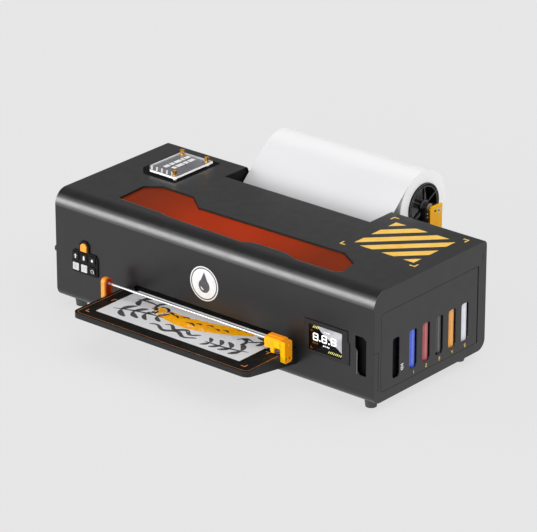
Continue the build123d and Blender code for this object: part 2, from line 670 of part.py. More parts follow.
def make_print_frame():
    """Frame plates, guide rail and shaft, and the platen under the film."""
    profile = outline([(-137, SHEET), (-137, 70), (-122, 135), (-22, 135), (6, 100), (6, SHEET)])
    plates = []
    for x in (FRAME_LEFT, FRAME_RIGHT):
        plate = prism_x(profile, x, x + FRAME_T)
        for y, z, r in (
            (FEED_Y, FEED_Z, 4 + RUN_FIT), (FEED_Y, PINCH_Z, 3 + RUN_FIT),
            (EXIT_Y, EXIT_Z, 4 + RUN_FIT), (SHAFT_Y, SHAFT_Z, SHAFT_R + TOUCH),
        ):
            plate -= rod_x(x - 1, x + FRAME_T + 1, y, z, r)
        plates.append(plate)
    save("frame_plates", *plates)
    rail = block(FRAME_LEFT + FRAME_T, FRAME_RIGHT, RAIL_FRONT, RAIL_REAR, 92, 126)
    for x in PULLEY_XS:
        rail -= rod_y(RAIL_FRONT - 1, RAIL_REAR + 1, x, PULLEY_Z, 2.5 + RUN_FIT)
    save("guide_rail", rail)
    save("guide_shaft", rod_x(FRAME_LEFT, FRAME_RIGHT + FRAME_T, SHAFT_Y, SHAFT_Z, SHAFT_R))

    platen = block(-230, 165, -115, -48, 52, FILM_Z)
    for y in (-113, -53):
        platen += block(-230, 165, y, y + 3, SHEET, 52)
    hole_pitch = 20.0
    for row in (-100, -80, -62):
        for i in range(17):
            platen -= rod_z(51, FILM_Z + 1, FILM_X - 160 + i * hole_pitch, row, 1.5)
    save("platen", platen)


def make_rollers():
    """Feed, pinch and exit rollers, running in the frame plates."""
    shaft_left = FRAME_LEFT - 7.0
    feed = rod_x(ROLLER_LEFT, ROLLER_RIGHT, FEED_Y, FEED_Z, FEED_R)
    feed += rod_x(shaft_left, FRAME_RIGHT + FRAME_T, FEED_Y, FEED_Z, 4.0)
    save("feed_roller", feed)

    pinch = rod_x(FRAME_LEFT, FRAME_RIGHT + FRAME_T, FEED_Y, PINCH_Z, 3.0)
    for i in range(4):
        x = FILM_LEFT + 22 + i * 76
        pinch += rod_x(x, x + 56, FEED_Y, PINCH_Z, PINCH_R)
    save("pinch_roller", pinch)

    out = rod_x(FRAME_LEFT, FRAME_RIGHT + FRAME_T, EXIT_Y, EXIT_Z, 4.0)
    for i in range(5):
        x = FILM_LEFT + 12 + i * 64
        out += rod_x(x, x + 48, EXIT_Y, EXIT_Z, EXIT_R)
    save("exit_roller", out)


def make_carriage():
    """The print carriage on its shaft, with the head under it."""
    x0 = CARRIAGE_X - CARRIAGE_HALF
    x1 = CARRIAGE_X + CARRIAGE_HALF
    body = block(x0, x1, -128, -54, 70, 118)
    body = chamfer(body.edges().filter_by(Axis.X).group_by(Axis.Z)[-1], 6)
    for i in range(TANKS):
        x = x0 + 11 + i * 18
        body += block(x, x + 15, -120, -78, 117, 127)
    clamp = block(CARRIAGE_X - 8, CARRIAGE_X + 8, -54, -44.5, 99, 110)
    clamp -= block(
        CARRIAGE_X - 9, CARRIAGE_X + 9, BELT_FRONT - AIR, -40,
        PULLEY_Z - BELT_OUT_R - AIR, PULLEY_Z - BELT_IN_R + AIR)
    body += clamp
    body -= rod_x(x0 - 1, x1 + 1, SHAFT_Y, SHAFT_Z, SHAFT_R + RUN_FIT)
    save("carriage", body)
    head = block(CARRIAGE_X - 30, CARRIAGE_X + 30, -112, -68, 66, 70)
    head += block(CARRIAGE_X - 18, CARRIAGE_X + 18, -106, -74, FILM_Z + 2.5, 66)
    save("print_head", head)


def make_drive():
    """Carriage belt, its two pulleys, and the carriage and feed motors."""
    belt_y0, belt_y1 = BELT_FRONT, BELT_REAR
    loops = []
    for r in (BELT_OUT_R, BELT_IN_R):
        left_x, right_x = PULLEY_XS
        loop = Pos((left_x + right_x) / 2, PULLEY_Z) * Rectangle(right_x - left_x, 2 * r)
        for x in PULLEY_XS:
            loop += Pos(x, PULLEY_Z) * Circle(r)
        loops.append(loop)
    save("drive_belt", prism_y(loops[0] - loops[1], belt_y0, belt_y1))

    for node, x in zip(("motor_pulley", "idler_pulley"), PULLEY_XS):
        pulley = rod_y(belt_y0 - 0.5, belt_y1 + 0.5, x, PULLEY_Z, PULLEY_R)
        pulley += rod_y(belt_y0 - 0.5, RAIL_REAR, x, PULLEY_Z, 2.5)
        save(node, pulley)

    motor_x = PULLEY_XS[0]
    carriage_motor = rod_y(RAIL_REAR, RAIL_REAR + 34, motor_x, PULLEY_Z, 17)
    feed_motor = rod_x(FRAME_LEFT - 40, FRAME_LEFT, FEED_Y, FEED_Z, 18)
    feed_motor -= rod_x(FRAME_LEFT - 8, FRAME_LEFT + 1, FEED_Y, FEED_Z, 4 + RUN_FIT)
    save("motors", carriage_motor, feed_motor)


def make_ink():
    """Five ink tanks, the waste bottle and the capping station."""
    front_x, rear_x, half, top = 360.0, 300.0, 11.3, 128.0
    cap_x = 316.0
    for i in range(TANKS):
        y = TANK_FIRST_Y + i * TANK_PITCH
        tank = block(rear_x, front_x, y - half, y + half, SHEET, top)
        tank = fillet(tank.edges().filter_by(Axis.Z), 3.5)
        tank += rod_z(top, top + 6, cap_x, y, 8)
        save("ink_tank_" + str(i + 1), tank)

    bottle = block(318, 358, -148, -84, SHEET, 126)
    bottle = fillet(bottle.edges().filter_by(Axis.X).group_by(Axis.Y)[0].sort_by(Axis.Z)[0], 10)
    bottle = fillet(bottle.edges().filter_by(Axis.Z).group_by(Axis.Y)[-1], 4)
    bottle += rod_z(126, 134, 337, -120, 11)
    save("waste_bottle", bottle)

    station = block(182, 268, -116, -64, SHEET, 40)
    rim_top = FILM_Z + 2.2
    cap_left, cap_right = CARRIAGE_X - 20, CARRIAGE_X + 20
    station += block(cap_left, cap_right, -108, -72, 40, rim_top)
    station -= block(cap_left + 2, cap_right - 2, -106, -74, 58, rim_top + 1)
    station += block(184, 185.5, -104, -76, 40, rim_top)
    save("cap_station", station)


def make_electrics():
    """Mainboard, power supply, mains inlet, power switch and its knob."""
    save("power_supply", block(-352, -268, -10, 118, SHEET, 46))
    board_z = 66.0
    board = block(-354, -264, 0, 142, board_z, board_z + 1.6)
    for x, y, w, d, h in (
        (-330, 50, 26, 26, 3), (-290, 40, 14, 20, 4), (-300, 90, 20, 12, 12), (-340, 105, 12, 12, 14),
        (-320, 120, 12, 12, 14), (-285, 15, 30, 8, 9), (-335, 15, 24, 8, 9),
    ):
        board += block(x - w / 2, x + w / 2, y - d / 2, y + d / 2, board_z + 1.6, board_z + 1.6 + h)
    usb = block(-276, -262, 140, REAR + 0.5, 72.5, 84.5) + block(-276, -264, 132, 142, board_z + 1.6, 84.5)
    usb -= block(-274, -264, REAR - 2, REAR + 1, 74.5, 82.5)
    posts = [rod_z(46, board_z, x, y, 3) for x in (-348, -272) for y in (8, 110)]
    key_board_y = BUTTON_REAR + 2.5
    key_board = block(-329, -264, key_board_y, key_board_y + 1.6, 60, 127)
    pegs = [rod_y(INNER_FRONT, key_board_y, x, z, 2) for x in (-327, -266) for z in (64, 123)]
    save("circuit_boards", board + usb, *posts, key_board, *pegs)

    inlet = block(-324.5, -295.5, 128, REAR, 29, 50) + block(-328, -292, REAR, REAR + 2, 26, 53)
    inlet -= block(-321, -299, REAR - 14, REAR + 3, 32, 47)
    for x, z in ((-317, 36.5), (-303, 36.5), (-310, 42.5)):
        inlet += block(x - 1, x + 1, REAR - 15, REAR - 5, z - 2.5, z + 2.5)
    save("mains_inlet", inlet)

    collar = rod_x(-HALF_W - 2, -HALF_W, KNOB_Y, KNOB_Z, 9) + rod_x(-HALF_W, -348, KNOB_Y, KNOB_Z, 5)
    collar -= rod_x(-HALF_W - 3, -352, KNOB_Y, KNOB_Z, 2.5 + RUN_FIT)
    save("power_switch", collar)
    knob = rod_x(KNOB_END, -HALF_W - 2 - AIR, KNOB_Y, KNOB_Z, KNOB_R)
    knob = chamfer(knob.faces().sort_by(Axis.X)[0].edges(), 1.0)
    knob -= block(KNOB_END - 1, KNOB_END + 1.2, KNOB_Y - 0.8, KNOB_Y + 0.8, KNOB_Z, KNOB_Z + KNOB_R)
    knob += rod_x(-HALF_W - 3, -353, KNOB_Y, KNOB_Z, 2.5)
    save("power_knob", knob)


make_case(case_wrap())
make_sides()
make_feet()
make_window()
make_ink_door()
make_name_plate()
make_controls()
make_tray()
make_cutter()
make_exit_rod()
make_film()
make_roll()
make_roll_holder()
make_feed_well()
make_print_frame()
make_rollers()
make_carriage()
make_drive()
make_ink()
make_electrics()
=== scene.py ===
import math
import random
from contextlib import contextmanager

import bmesh
import bpy
from bpy.props import FloatProperty, FloatVectorProperty, IntProperty, PointerProperty
from mathutils import Matrix, Vector


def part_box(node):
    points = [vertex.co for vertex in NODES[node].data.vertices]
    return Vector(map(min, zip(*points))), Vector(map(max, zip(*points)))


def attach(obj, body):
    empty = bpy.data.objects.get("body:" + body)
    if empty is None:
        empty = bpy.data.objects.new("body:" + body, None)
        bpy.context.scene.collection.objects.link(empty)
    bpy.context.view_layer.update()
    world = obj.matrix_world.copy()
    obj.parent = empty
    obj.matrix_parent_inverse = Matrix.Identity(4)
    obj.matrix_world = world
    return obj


bl_info = {
    "name": "Film printer finishes",
    "version": (1, 0, 0),
    "blender": (4, 5, 0),
    "location": "3D View > Sidebar > Film printer",
    "description": "Finishes, fittings, print and stage for a desktop direct-to-film printer",
    "category": "Object",
}

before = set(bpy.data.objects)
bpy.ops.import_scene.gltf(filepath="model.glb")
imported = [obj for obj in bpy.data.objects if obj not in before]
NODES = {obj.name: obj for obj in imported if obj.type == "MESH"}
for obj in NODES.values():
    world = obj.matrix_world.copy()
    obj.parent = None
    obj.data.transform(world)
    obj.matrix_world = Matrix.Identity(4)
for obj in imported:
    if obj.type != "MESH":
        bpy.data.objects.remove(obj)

# Body frame: millimetres from the middle of the case's base, as the case itself is laid out
MM = 0.001
LEFT_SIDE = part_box("side_panel_left")
RIGHT_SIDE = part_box("side_panel_right")
CASE_MIDDLE = Vector((
    (LEFT_SIDE[0].x + RIGHT_SIDE[1].x) / 2,
    (LEFT_SIDE[0].y + LEFT_SIDE[1].y) / 2,
    LEFT_SIDE[0].z,
))
TO_ROW = Matrix.Translation(CASE_MIDDLE) @ Matrix.Scale(MM, 4)


def span(node):
    """Lowest and highest corner of a CAD node, in body millimetres."""
    low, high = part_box(node)
    return (low - CASE_MIDDLE) / MM, (high - CASE_MIDDLE) / MM


CASE_LOW, CASE_HIGH = span("side_panel_left")
TOP_Z = CASE_HIGH.z
FRONT_Y = CASE_LOW.y
REAR_Y = CASE_HIGH.y
RIGHT_X = (RIGHT_SIDE[1].x - CASE_MIDDLE.x) / MM
# How deep a piece is sunk into what it sits on, and how thick a printed mark is with that
BURY = 0.1
PRINTED = 0.25


def srgb(red, green, blue):
    """A colour given as it looks on a screen, 0 to 255, turned into linear light."""
    linear = []
    for value in (red, green, blue):
        share = value / 255
        linear.append(share / 12.92 if share <= 0.04045 else ((share + 0.055) / 1.055) ** 2.4)
    return tuple(linear)


# Finishes


class Finish:
    """A principled finish whose tone, gloss and grain come from the piece's own coordinates."""

    def __init__(self, name, colour, roughness=0.5, metallic=0.0, specular=0.5, alpha=1.0, coat=0.0):
        self.material = bpy.data.materials.new(name)
        self.material.use_nodes = True
        self.nodes = self.material.node_tree.nodes
        self.links = self.material.node_tree.links
        self.shader = self.nodes["Principled BSDF"]
        self.coords = self.nodes.new("ShaderNodeTexCoord").outputs["Object"]
        self.normal = None
        self.colour = None
        self.base = (*colour, 1.0)
        self.put("Base Color", self.base)
        self.put("Roughness", roughness)
        self.put("Metallic", metallic)
        self.put("Specular IOR Level", specular)
        self.put("Alpha", alpha)
        self.put("Coat Weight", coat)
        self.put("Coat Roughness", 0.08)

    def put(self, socket, value):
        self.shader.inputs[socket].default_value = value

    def link(self, output, socket):
        self.links.new(output, self.shader.inputs[socket])

    def placed_coords(self, move=(0, 0, 0), stretch=(1, 1, 1)):
        """The piece's coordinates moved and stretched by a Mapping node."""
        mapping = self.nodes.new("ShaderNodeMapping")
        mapping.inputs["Location"].default_value = move
        mapping.inputs["Scale"].default_value = stretch
        self.links.new(self.coords, mapping.inputs["Vector"])
        return mapping.outputs["Vector"]

    def noise(self, feature_mm, detail=2.0, stretch=(1, 1, 1)):
        """Noise whose blotches are about feature_mm across."""
        node = self.nodes.new("ShaderNodeTexNoise")
        node.inputs["Scale"].default_value = 1 / (feature_mm * MM)
        node.inputs["Detail"].default_value = detail
        self.links.new(self.placed_coords(stretch=stretch), node.inputs["Vector"])
        return node.outputs["Fac"]

    def remap(self, value, low, high, to_low, to_high):
        node = self.nodes.new("ShaderNodeMapRange")
        ends = {"From Min": low, "From Max": high, "To Min": to_low, "To Max": to_high}
        for socket, end in ends.items():
            node.inputs[socket].default_value = end
        self.links.new(value, node.inputs["Value"])
        return node.outputs["Result"]

    def math(self, kind, first, second=None):
        node = self.nodes.new("ShaderNodeMath")
        node.operation = kind
        for socket, value in zip(node.inputs, (first, second)):
            if isinstance(value, (int, float)):
                socket.default_value = value
            elif value is not None:
                self.links.new(value, socket)
        return node.outputs["Value"]

    def blend_to(self, colour, share):
        """Mixes the colour so far towards another, by a share that varies over the surface."""
        node = self.nodes.new("ShaderNodeMix")
        node.data_type = "RGBA"
        if self.colour is None:
            node.inputs["A"].default_value = self.base
        else:
            self.links.new(self.colour, node.inputs["A"])
        node.inputs["B"].default_value = (*colour, 1.0)
        self.links.new(share, node.inputs["Factor"])
        self.colour = node.outputs["Result"]
        self.link(self.colour, "Base Color")
        return self

    def mottle(self, colour, feature_mm, most=0.5, stretch=(1, 1, 1)):
        """Soft patches of a second colour."""
        return self.blend_to(colour, self.remap(self.noise(feature_mm, 3.0, stretch), 0.35, 0.7, 0.0, most))

    def gloss(self, low, high, feature_mm, stretch=(1, 1, 1)):
        """Roughness that drifts between two values."""
        self.link(self.remap(self.noise(feature_mm, 3.0, stretch), 0.3, 0.7, low, high), "Roughness")
        return self

    def grain(self, feature_mm, strength, depth_mm=0.05, stretch=(1, 1, 1)):
        """Fine relief, laid over any relief so far."""
        return self.relief(self.noise(feature_mm, 2.0, stretch), strength, depth_mm)

    def relief(self, height, strength, depth_mm):
        node = self.nodes.new("ShaderNodeBump")
        node.inputs["Strength"].default_value = strength
        node.inputs["Distance"].default_value = depth_mm * MM
        self.links.new(height, node.inputs["Height"])
        if self.normal is not None:
            self.links.new(self.normal, node.inputs["Normal"])
        self.normal = node.outputs["Normal"]
        self.link(self.normal, "Normal")
        return self

    def part(self, vector, axis):
        split = self.nodes.new("ShaderNodeSeparateXYZ")
        self.links.new(vector, split.inputs["Vector"])
        return split.outputs[axis]

    def facing(self, axis):
        """How far the surface faces along +X, +Y or +Z, from -1 to 1."""
        return self.part(self.nodes.new("ShaderNodeNewGeometry").outputs["Normal"], axis)

    def toward(self, axis, low, high, to_low, to_high):
        """A share that changes with how far the surface faces along an axis."""
        return self.remap(self.facing(axis), low, high, to_low, to_high)

    def place(self, axis):
        """The coordinate along an axis, in metres of the row frame."""
        return self.part(self.coords, axis)

    def glow(self, colour, strength):
        """Light of its own; strength may be a value that varies over the surface."""
        self.put("Emission Color", (*colour, 1.0))
        if isinstance(strength, (int, float)):
            self.put("Emission Strength", strength)
        else:
            self.link(strength, "Emission Strength")
        return self


def paint(finish, *nodes):
    """Gives a finish to CAD nodes."""
    for node in nodes:
        materials = NODES[node].data.materials
        materials.clear()
        materials.append(finish.material)


# Modelling helpers, in body millimetres


@contextmanager
def placed(bm, matrix):
    """What is modelled inside the block is moved by the matrix."""
    before = set(bm.verts)
    yield
    bmesh.ops.transform(bm, matrix=matrix, verts=[v for v in bm.verts if v not in before])


def on_top(x=0, y=0, z=TOP_Z):
    return Matrix.Translation((x, y, z))


def on_front(x=0, z=0, y=FRONT_Y):
    """Local x runs right, local y up and local z towards the viewer."""
    return Matrix(((1, 0, 0, x), (0, 0, -1, y), (0, 1, 0, z), (0, 0, 0, 1)))


def on_right(y=0, z=0, x=RIGHT_X):
    return Matrix(((0, 0, 1, x), (1, 0, 0, y), (0, 1, 0, z), (0, 0, 0, 1)))


def on_left(y=0, z=0, x=-RIGHT_X):
    return Matrix(((0, 0, -1, x), (-1, 0, 0, y), (0, 1, 0, z), (0, 0, 0, 1)))


def on_rear(x=0, z=0, y=REAR_Y):
    return Matrix(((-1, 0, 0, x), (0, 0, 1, y), (0, 1, 0, z), (0, 0, 0, 1)))


def both_ends(low, high, y, z, out=0.0):
    """Where (y, z) comes out at the right and at the left end of a piece."""
    return on_right(y, z, high.x + out), on_left(y, z, low.x - out)


def under(x=0, y=0, z=0.0):
    return Matrix(((1, 0, 0, x), (0, -1, 0, y), (0, 0, -1, z), (0, 0, 0, 1)))


def lift_faces(bm, faces, height):
    """Pulls flat faces up into a plate."""
    grown = bmesh.ops.extrude_face_region(bm, geom=faces)["geom"]
    bmesh.ops.translate(bm, vec=(0, 0, height), verts=[g for g in grown if isinstance(g, bmesh.types.BMVert)])


def slab(bm, corners, thick, round_r=0.0, z=-BURY):
    """A flat plate with the given outline; round_r rounds its corners."""
    before = set(bm.faces)
    verts = [bm.verts.new((x, y, z)) for x, y in corners]
    bm.faces.new(verts)
    if round_r:
        bmesh.ops.bevel(
            bm, geom=verts, offset=round_r, offset_type="OFFSET", segments=5, profile=0.5, affect="VERTICES",
            material=-1)
    lift_faces(bm, [f for f in bm.faces if f not in before], thick)


def plate(bm, x0, x1, y0, y1, thick, round_r=0.0, z=-BURY):
    slab(bm, [(x0, y0), (x1, y0), (x1, y1), (x0, y1)], thick, round_r, z)


def puck(bm, r, height, x=0.0, y=0.0, z=0.0, segments=28, edge=0.0):
    """A short round post standing on its plane, its top rim bevelled by edge."""
    made = bmesh.ops.create_cone(
        bm, cap_ends=True, cap_tris=False, segments=segments, radius1=r, radius2=r, depth=height,
        matrix=Matrix.Translation((x, y, z + height / 2)))["verts"]
    if edge:
        top = {v for v in made if v.co.z > z + height * 0.9}
        rim = [e for e in bm.edges if all(v in top for v in e.verts)]
        bmesh.ops.bevel(
            bm, geom=rim, offset=edge, segments=2, profile=0.5, affect="EDGES", material=-1,
            clamp_overlap=True)


def washer(bm, outer, inner, height, x=0.0, y=0.0, z=-BURY, segments=48):
    """A flat ring."""
    old_edges, old_faces = set(bm.edges), set(bm.faces)
    for r in (outer, inner):
        bmesh.ops.create_circle(
            bm, cap_ends=False, segments=segments, radius=r, matrix=Matrix.Translation((x, y, z)))
    bmesh.ops.bridge_loops(bm, edges=[e for e in bm.edges if e not in old_edges])
    lift_faces(bm, [f for f in bm.faces if f not in old_faces], height)


def ribbon(bm, path, widths, thick, z=-BURY):
    """A flat stroke along a path, its width given at each point."""
    before = set(bm.faces)
    sides = []
    for i, (x, y) in enumerate(path):
        ahead = path[min(i + 1, len(path) - 1)]
        behind = path[max(i - 1, 0)]
        along = Vector((ahead[0] - behind[0], ahead[1] - behind[1])).normalized()
        across = Vector((-along.y, along.x)) * widths[i] / 2
        sides.append((Vector((x + across.x, y + across.y, z)), Vector((x - across.x, y - across.y, z))))
    left, right = (bm.verts.new(co) for co in sides[0])
    edge = bm.edges.new((left, right))
    for left_co, right_co in sides[1:]:
        grown = bmesh.ops.extrude_edge_only(bm, edges=[edge])["geom"]
        new = [g for g in grown if isinstance(g, bmesh.types.BMVert)]
        edge = next(g for g in grown if isinstance(g, bmesh.types.BMEdge) and all(v in new for v in g.verts))
        next_left = next(v for v in new if any(left in e.verts for e in v.link_edges))
        next_right = next(v for v in new if v is not next_left)
        next_left.co, next_right.co = left_co, right_co
        left, right = next_left, next_right
    lift_faces(bm, [f for f in bm.faces if f not in before], thick)


def corner_mark(bm, x, y, to_x, to_y, arm, width, thick):
    """An L of two arms that meet at (x, y) and run to one side each."""
    slab(bm, [
        (x, y), (x + to_x * arm, y), (x + to_x * arm, y + to_y * width), (x + to_x * width, y + to_y * width),
        (x + to_x * width, y + to_y * arm), (x, y + to_y * arm),
    ], thick)


SEGMENTS = {1: "bc", 2: "abged", 3: "abgcd", 4: "fgbc", 5: "afgcd", 8: "abcdefg"}


def digit(bm, number, x, y, height, width, stroke, thick):
    """A seven-segment figure centred on (x, y)."""
    half_w, half_h = (width - stroke) / 2, (height - stroke) / 2
    ends = {
        "a": ((-half_w, half_h), (half_w, half_h)),
        "b": ((half_w, half_h), (half_w, 0)),
        "c": ((half_w, 0), (half_w, -half_h)),
        "d": ((-half_w, -half_h), (half_w, -half_h)),
        "e": ((-half_w, 0), (-half_w, -half_h)),
        "f": ((-half_w, half_h), (-half_w, 0)),
        "g": ((-half_w, 0), (half_w, 0)),
    }
    s = stroke / 2
    for name in SEGMENTS[number]:
        start, end = (Vector(p) for p in ends[name])
        along = (end - start).normalized()
        across = Vector((-along.y, along.x)) * s
        start, end = start - along * s / 2, end + along * s / 2
        corners = [start, start + along * s - across, end - along * s - across, end,
                   end - along * s + across, start + along * s + across]
        slab(bm, [(x + c.x, y + c.y) for c in corners], thick)


def screw(bm, r, height):
    """A button-head screw with a socket."""
    before = set(bm.faces)
    puck(bm, r, height, edge=height * 0.45, segments=24)
    made = [f for f in bm.faces if f not in before]
    top = max(made, key=lambda f: (f.calc_center_median().z, f.calc_area()))
    bmesh.ops.inset_individual(bm, faces=[top], thickness=r * 0.35, depth=0)
    bmesh.ops.inset_individual(bm, faces=[top], thickness=r * 0.05, depth=-height * 0.6)


@contextmanager
def modelled(name, finish, body, slot, place=Matrix(), smooth=35.0):
    """What is modelled inside the block is moved by the matrix and becomes a piece that rides on a body."""
    bm = bmesh.new()
    yield bm
    bmesh.ops.transform(bm, matrix=place, verts=bm.verts)
    bmesh.ops.remove_doubles(bm, verts=bm.verts, dist=0.0005)
    bmesh.ops.recalc_face_normals(bm, faces=bm.faces)
    bmesh.ops.transform(bm, matrix=TO_ROW, verts=bm.verts)
    mesh = bpy.data.meshes.new(name)
    bm.to_mesh(mesh)
    bm.free()
    mesh.materials.append(finish.material)
    mesh.shade_smooth()
    mesh.set_sharp_from_angle(angle=math.radians(smooth))
    made = bpy.data.objects.new(name, mesh)
    bpy.context.scene.collection.objects.link(made)
    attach(made, body)


# Settings that a user would change


def tint(name, description, default):
    """A colour that a user sets; the default is given as it looks on a screen."""
    return FloatVectorProperty(
        name=name, description=description, subtype="COLOR", size=3, min=0, max=1, default=srgb(*default))


class CaseSettings(bpy.types.PropertyGroup):
    paint: tint("Paint", "Colour of the case's charcoal paint", (27, 27, 28))
    roughness: FloatProperty(
        name="Paint roughness", description="How dull the paint is", subtype="FACTOR", min=0, max=1,
        default=0.32)


class AccentSettings(bpy.types.PropertyGroup):
    orange: tint("Orange", "Colour of the moulded orange parts", (255, 200, 4))
    pane: tint("Pane", "Colour of the sight window's acrylic", (178, 50, 6))
    hazard: tint("Hazard yellow", "Colour of the stripes on the top", (252, 205, 96))
    stripe_pitch: FloatProperty(
        name="Stripe pitch", description="Distance from one stripe to the next, in mm", min=5, max=100,
        default=33.5)
    stripe_width: FloatProperty(
        name="Stripe width", description="Width of a yellow stripe, in mm", min=1, max=90, default=18.3)


class FilmSettings(bpy.types.PropertyGroup):
    film: tint("Film", "Colour of the film", (232, 232, 234))
    print_seed: IntProperty(
        name="Print seed", description="Starts the random ragged edges of the print", default=7)


def brightness(name, description, default, most=50):
    return FloatProperty(
        name=name, description="Brightness of the " + description, min=0, max=most, default=default)


class StageSettings(bpy.types.PropertyGroup):
    floor: tint("Floor", "Colour of the floor", (230, 230, 230))
    key: brightness("Front softboxes", "row of low softboxes along the front", 3.2)
    fill: brightness("Top softbox", "broad softbox overhead", 1.85)
    rear: brightness("Rear glow", "soft glow behind the printer", 0.2)
    sky: brightness("Surroundings", "rest of the studio", 0.1, 10)


def settings():
    return bpy.context.scene.film_printer


class PrinterSettings(bpy.types.PropertyGroup):
    case: PointerProperty(type=CaseSettings)
    accent: PointerProperty(type=AccentSettings)
    film: PointerProperty(type=FilmSettings)
    stage: PointerProperty(type=StageSettings)


class PrinterOperator(bpy.types.Operator):
    """Base of the operators: each one's work is in its build()"""

    bl_options = {"REGISTER", "UNDO"}

    def execute(self, context):
        self.build()
        return {"FINISHED"}


# Shared finishes


def black_plastic(name="black_plastic", tone=26, roughness=0.42, specular=0.45):
    finish = Finish(name, srgb(tone, tone, tone + 1), roughness, specular=specular)
    finish.mottle(srgb(tone + 12, tone + 12, tone + 12), 14, 0.5)
    finish.gloss(roughness - 0.07, roughness + 0.1, 9)
    return finish.grain(0.6, 0.25, 0.03)


def white_ink(name="white_marks"):
    return Finish(name, srgb(238, 238, 236), 0.45).mottle(srgb(214, 214, 212), 5, 0.5).gloss(0.38, 0.55, 4)


def moulded_orange(name, orange):
    """Glossy moulded orange, with painted shade: deeper orange on faces towards +X and redder on its upper
    faces.
    """
    finish = Finish(name, orange, 0.33, specular=0.4)
    finish.mottle(srgb(255, 176, 0), 16, 0.45)
    # Painted shade: faces turned towards +X are mixed to a deeper orange.
    finish.blend_to(srgb(255, 150, 0), finish.toward("X", 0.4, 0.95, 0.0, 0.8))
    # Painted shade: upper faces are mixed to a darker, redder orange.
    finish.blend_to(srgb(240, 104, 8), finish.toward("Z", 0.4, 0.95, 0.0, 0.7))
    finish.gloss(0.26, 0.42, 8)
    return finish.grain(0.7, 0.18, 0.03)


def bright_steel(name="polished_steel", tone=205, roughness=0.2, stretch=(0.05, 1, 1)):
    """Turned or drawn metal with streaks along the stretched axis."""
    finish = Finish(name, srgb(tone, tone, tone + 3), roughness, metallic=1.0)
    finish.mottle(srgb(tone - 60, tone - 60, tone - 55), 2.5, 0.5, stretch)
    finish.gloss(roughness - 0.06, roughness + 0.14, 1.6, stretch)
    return finish.grain(0.4, 0.2, 0.02, stretch)


class CASE_OT_panels(PrinterOperator):
    """Charcoal paint on the panels, and the screws of the rear and the base"""

    bl_idname = "film_printer.case"
    bl_label = "Case panels"

    painted_sheen_tone = 118
    rear_screws = ((-345, 14), (-345, 178), (-118, 14), (118, 14), (345, 14), (345, 178))
    base_screws = ((-345, -60), (-345, 60), (0, -60), (0, 60), (345, -60), (345, 60))
    seams = ((FRONT_Y + 1.5, -144, 95.4, 96.2), (-144.4, -143.6, 24, 96), (145.6, 146.2, 168, 183))
    # Where the painted highlight on the slot's wall lies.
    slot_highlight_span = (327.6, 328.6, 51, 93)

    def build(self):
        case = settings().case
        body = Finish("charcoal_paint", tuple(case.paint), case.roughness, specular=0.55)
        body.mottle(tuple(c * 1.2 for c in case.paint), 55, 0.5)
        # Painted sheen: the front-top bend, picked out by how its faces point, is made metallic and lighter
        # in tone so it shows a bright highlight line.
        up = body.facing("Z")
        rise, fall = body.remap(up, 0.02, 0.2, 0.0, 1.0), body.remap(up, 0.45, 0.75, 1.0, 0.0)
        painted_sheen_mask = body.math("MULTIPLY", rise, fall)
        painted_sheen_mask = body.math("MULTIPLY", painted_sheen_mask, body.toward("Y", -0.3, -0.05, 1.0, 0.0))
        body.blend_to(srgb(*[self.painted_sheen_tone] * 3), painted_sheen_mask)
        body.link(painted_sheen_mask, "Metallic")
        body.gloss(case.roughness - 0.04, case.roughness + 0.06, 22)
        body.grain(0.9, 0.12, 0.02).grain(12, 0.05, 0.05)
        paint(
            body, "front_panel", "top_panel", "rear_panel", "side_panel_left", "side_panel_right", "ink_door")

        inside = Finish("inner_paint", srgb(40, 40, 41), 0.6, specular=0.35)
        inside.mottle(srgb(62, 62, 62), 30, 0.5).gloss(0.5, 0.7, 15).grain(1.2, 0.3, 0.04)
        paint(inside, "base_pan")
        paint(black_plastic("well_black", 10, 0.6, 0.15), "feed_well", "axle_saddles")

        rubber = Finish("foot_rubber", srgb(52, 52, 53), 0.4, specular=0.5)
        rubber.mottle(srgb(70, 70, 70), 4, 0.6).gloss(0.34, 0.5, 5).grain(0.8, 0.3, 0.05)
        paint(rubber, "feet")

        dark = black_plastic("screw_black", 34, 0.35)
        with modelled("case_screws", dark, "printer", "charcoal_paint") as bm:
            for x, z in self.rear_screws:
                with placed(bm, on_rear(x, z)):
                    puck(bm, 3.2, 1.4, z=-BURY, edge=0.6)
                    washer(bm, 1.7, 1.2, 1.6, segments=12)
            for x, y in self.base_screws:
                with placed(bm, under(x, y)):
                    puck(bm, 3.4, 1.2, z=-BURY, edge=0.5)

        seam = Finish("seam_shadow", srgb(10, 10, 10), 0.8, specular=0.2).mottle(srgb(20, 20, 20), 3)
        with modelled("side_seams", seam, "printer", "charcoal_paint", on_right()) as bm:
            for limits in self.seams:
                plate(bm, *limits, BURY + 0.05)

        # Painted highlight: a light grey metallic strip stands for the lit left wall of the slot beside it.
        edge = Finish("slot_wall_highlight_paint", srgb(150, 150, 150), 0.3, metallic=0.6)
        edge.mottle(srgb(110, 110, 110), 4).gloss(0.25, 0.4, 3)
        with modelled("slot_wall_highlight", edge, "printer", "charcoal_paint", on_front()) as bm:
            plate(bm, *self.slot_highlight_span, BURY + 0.06)


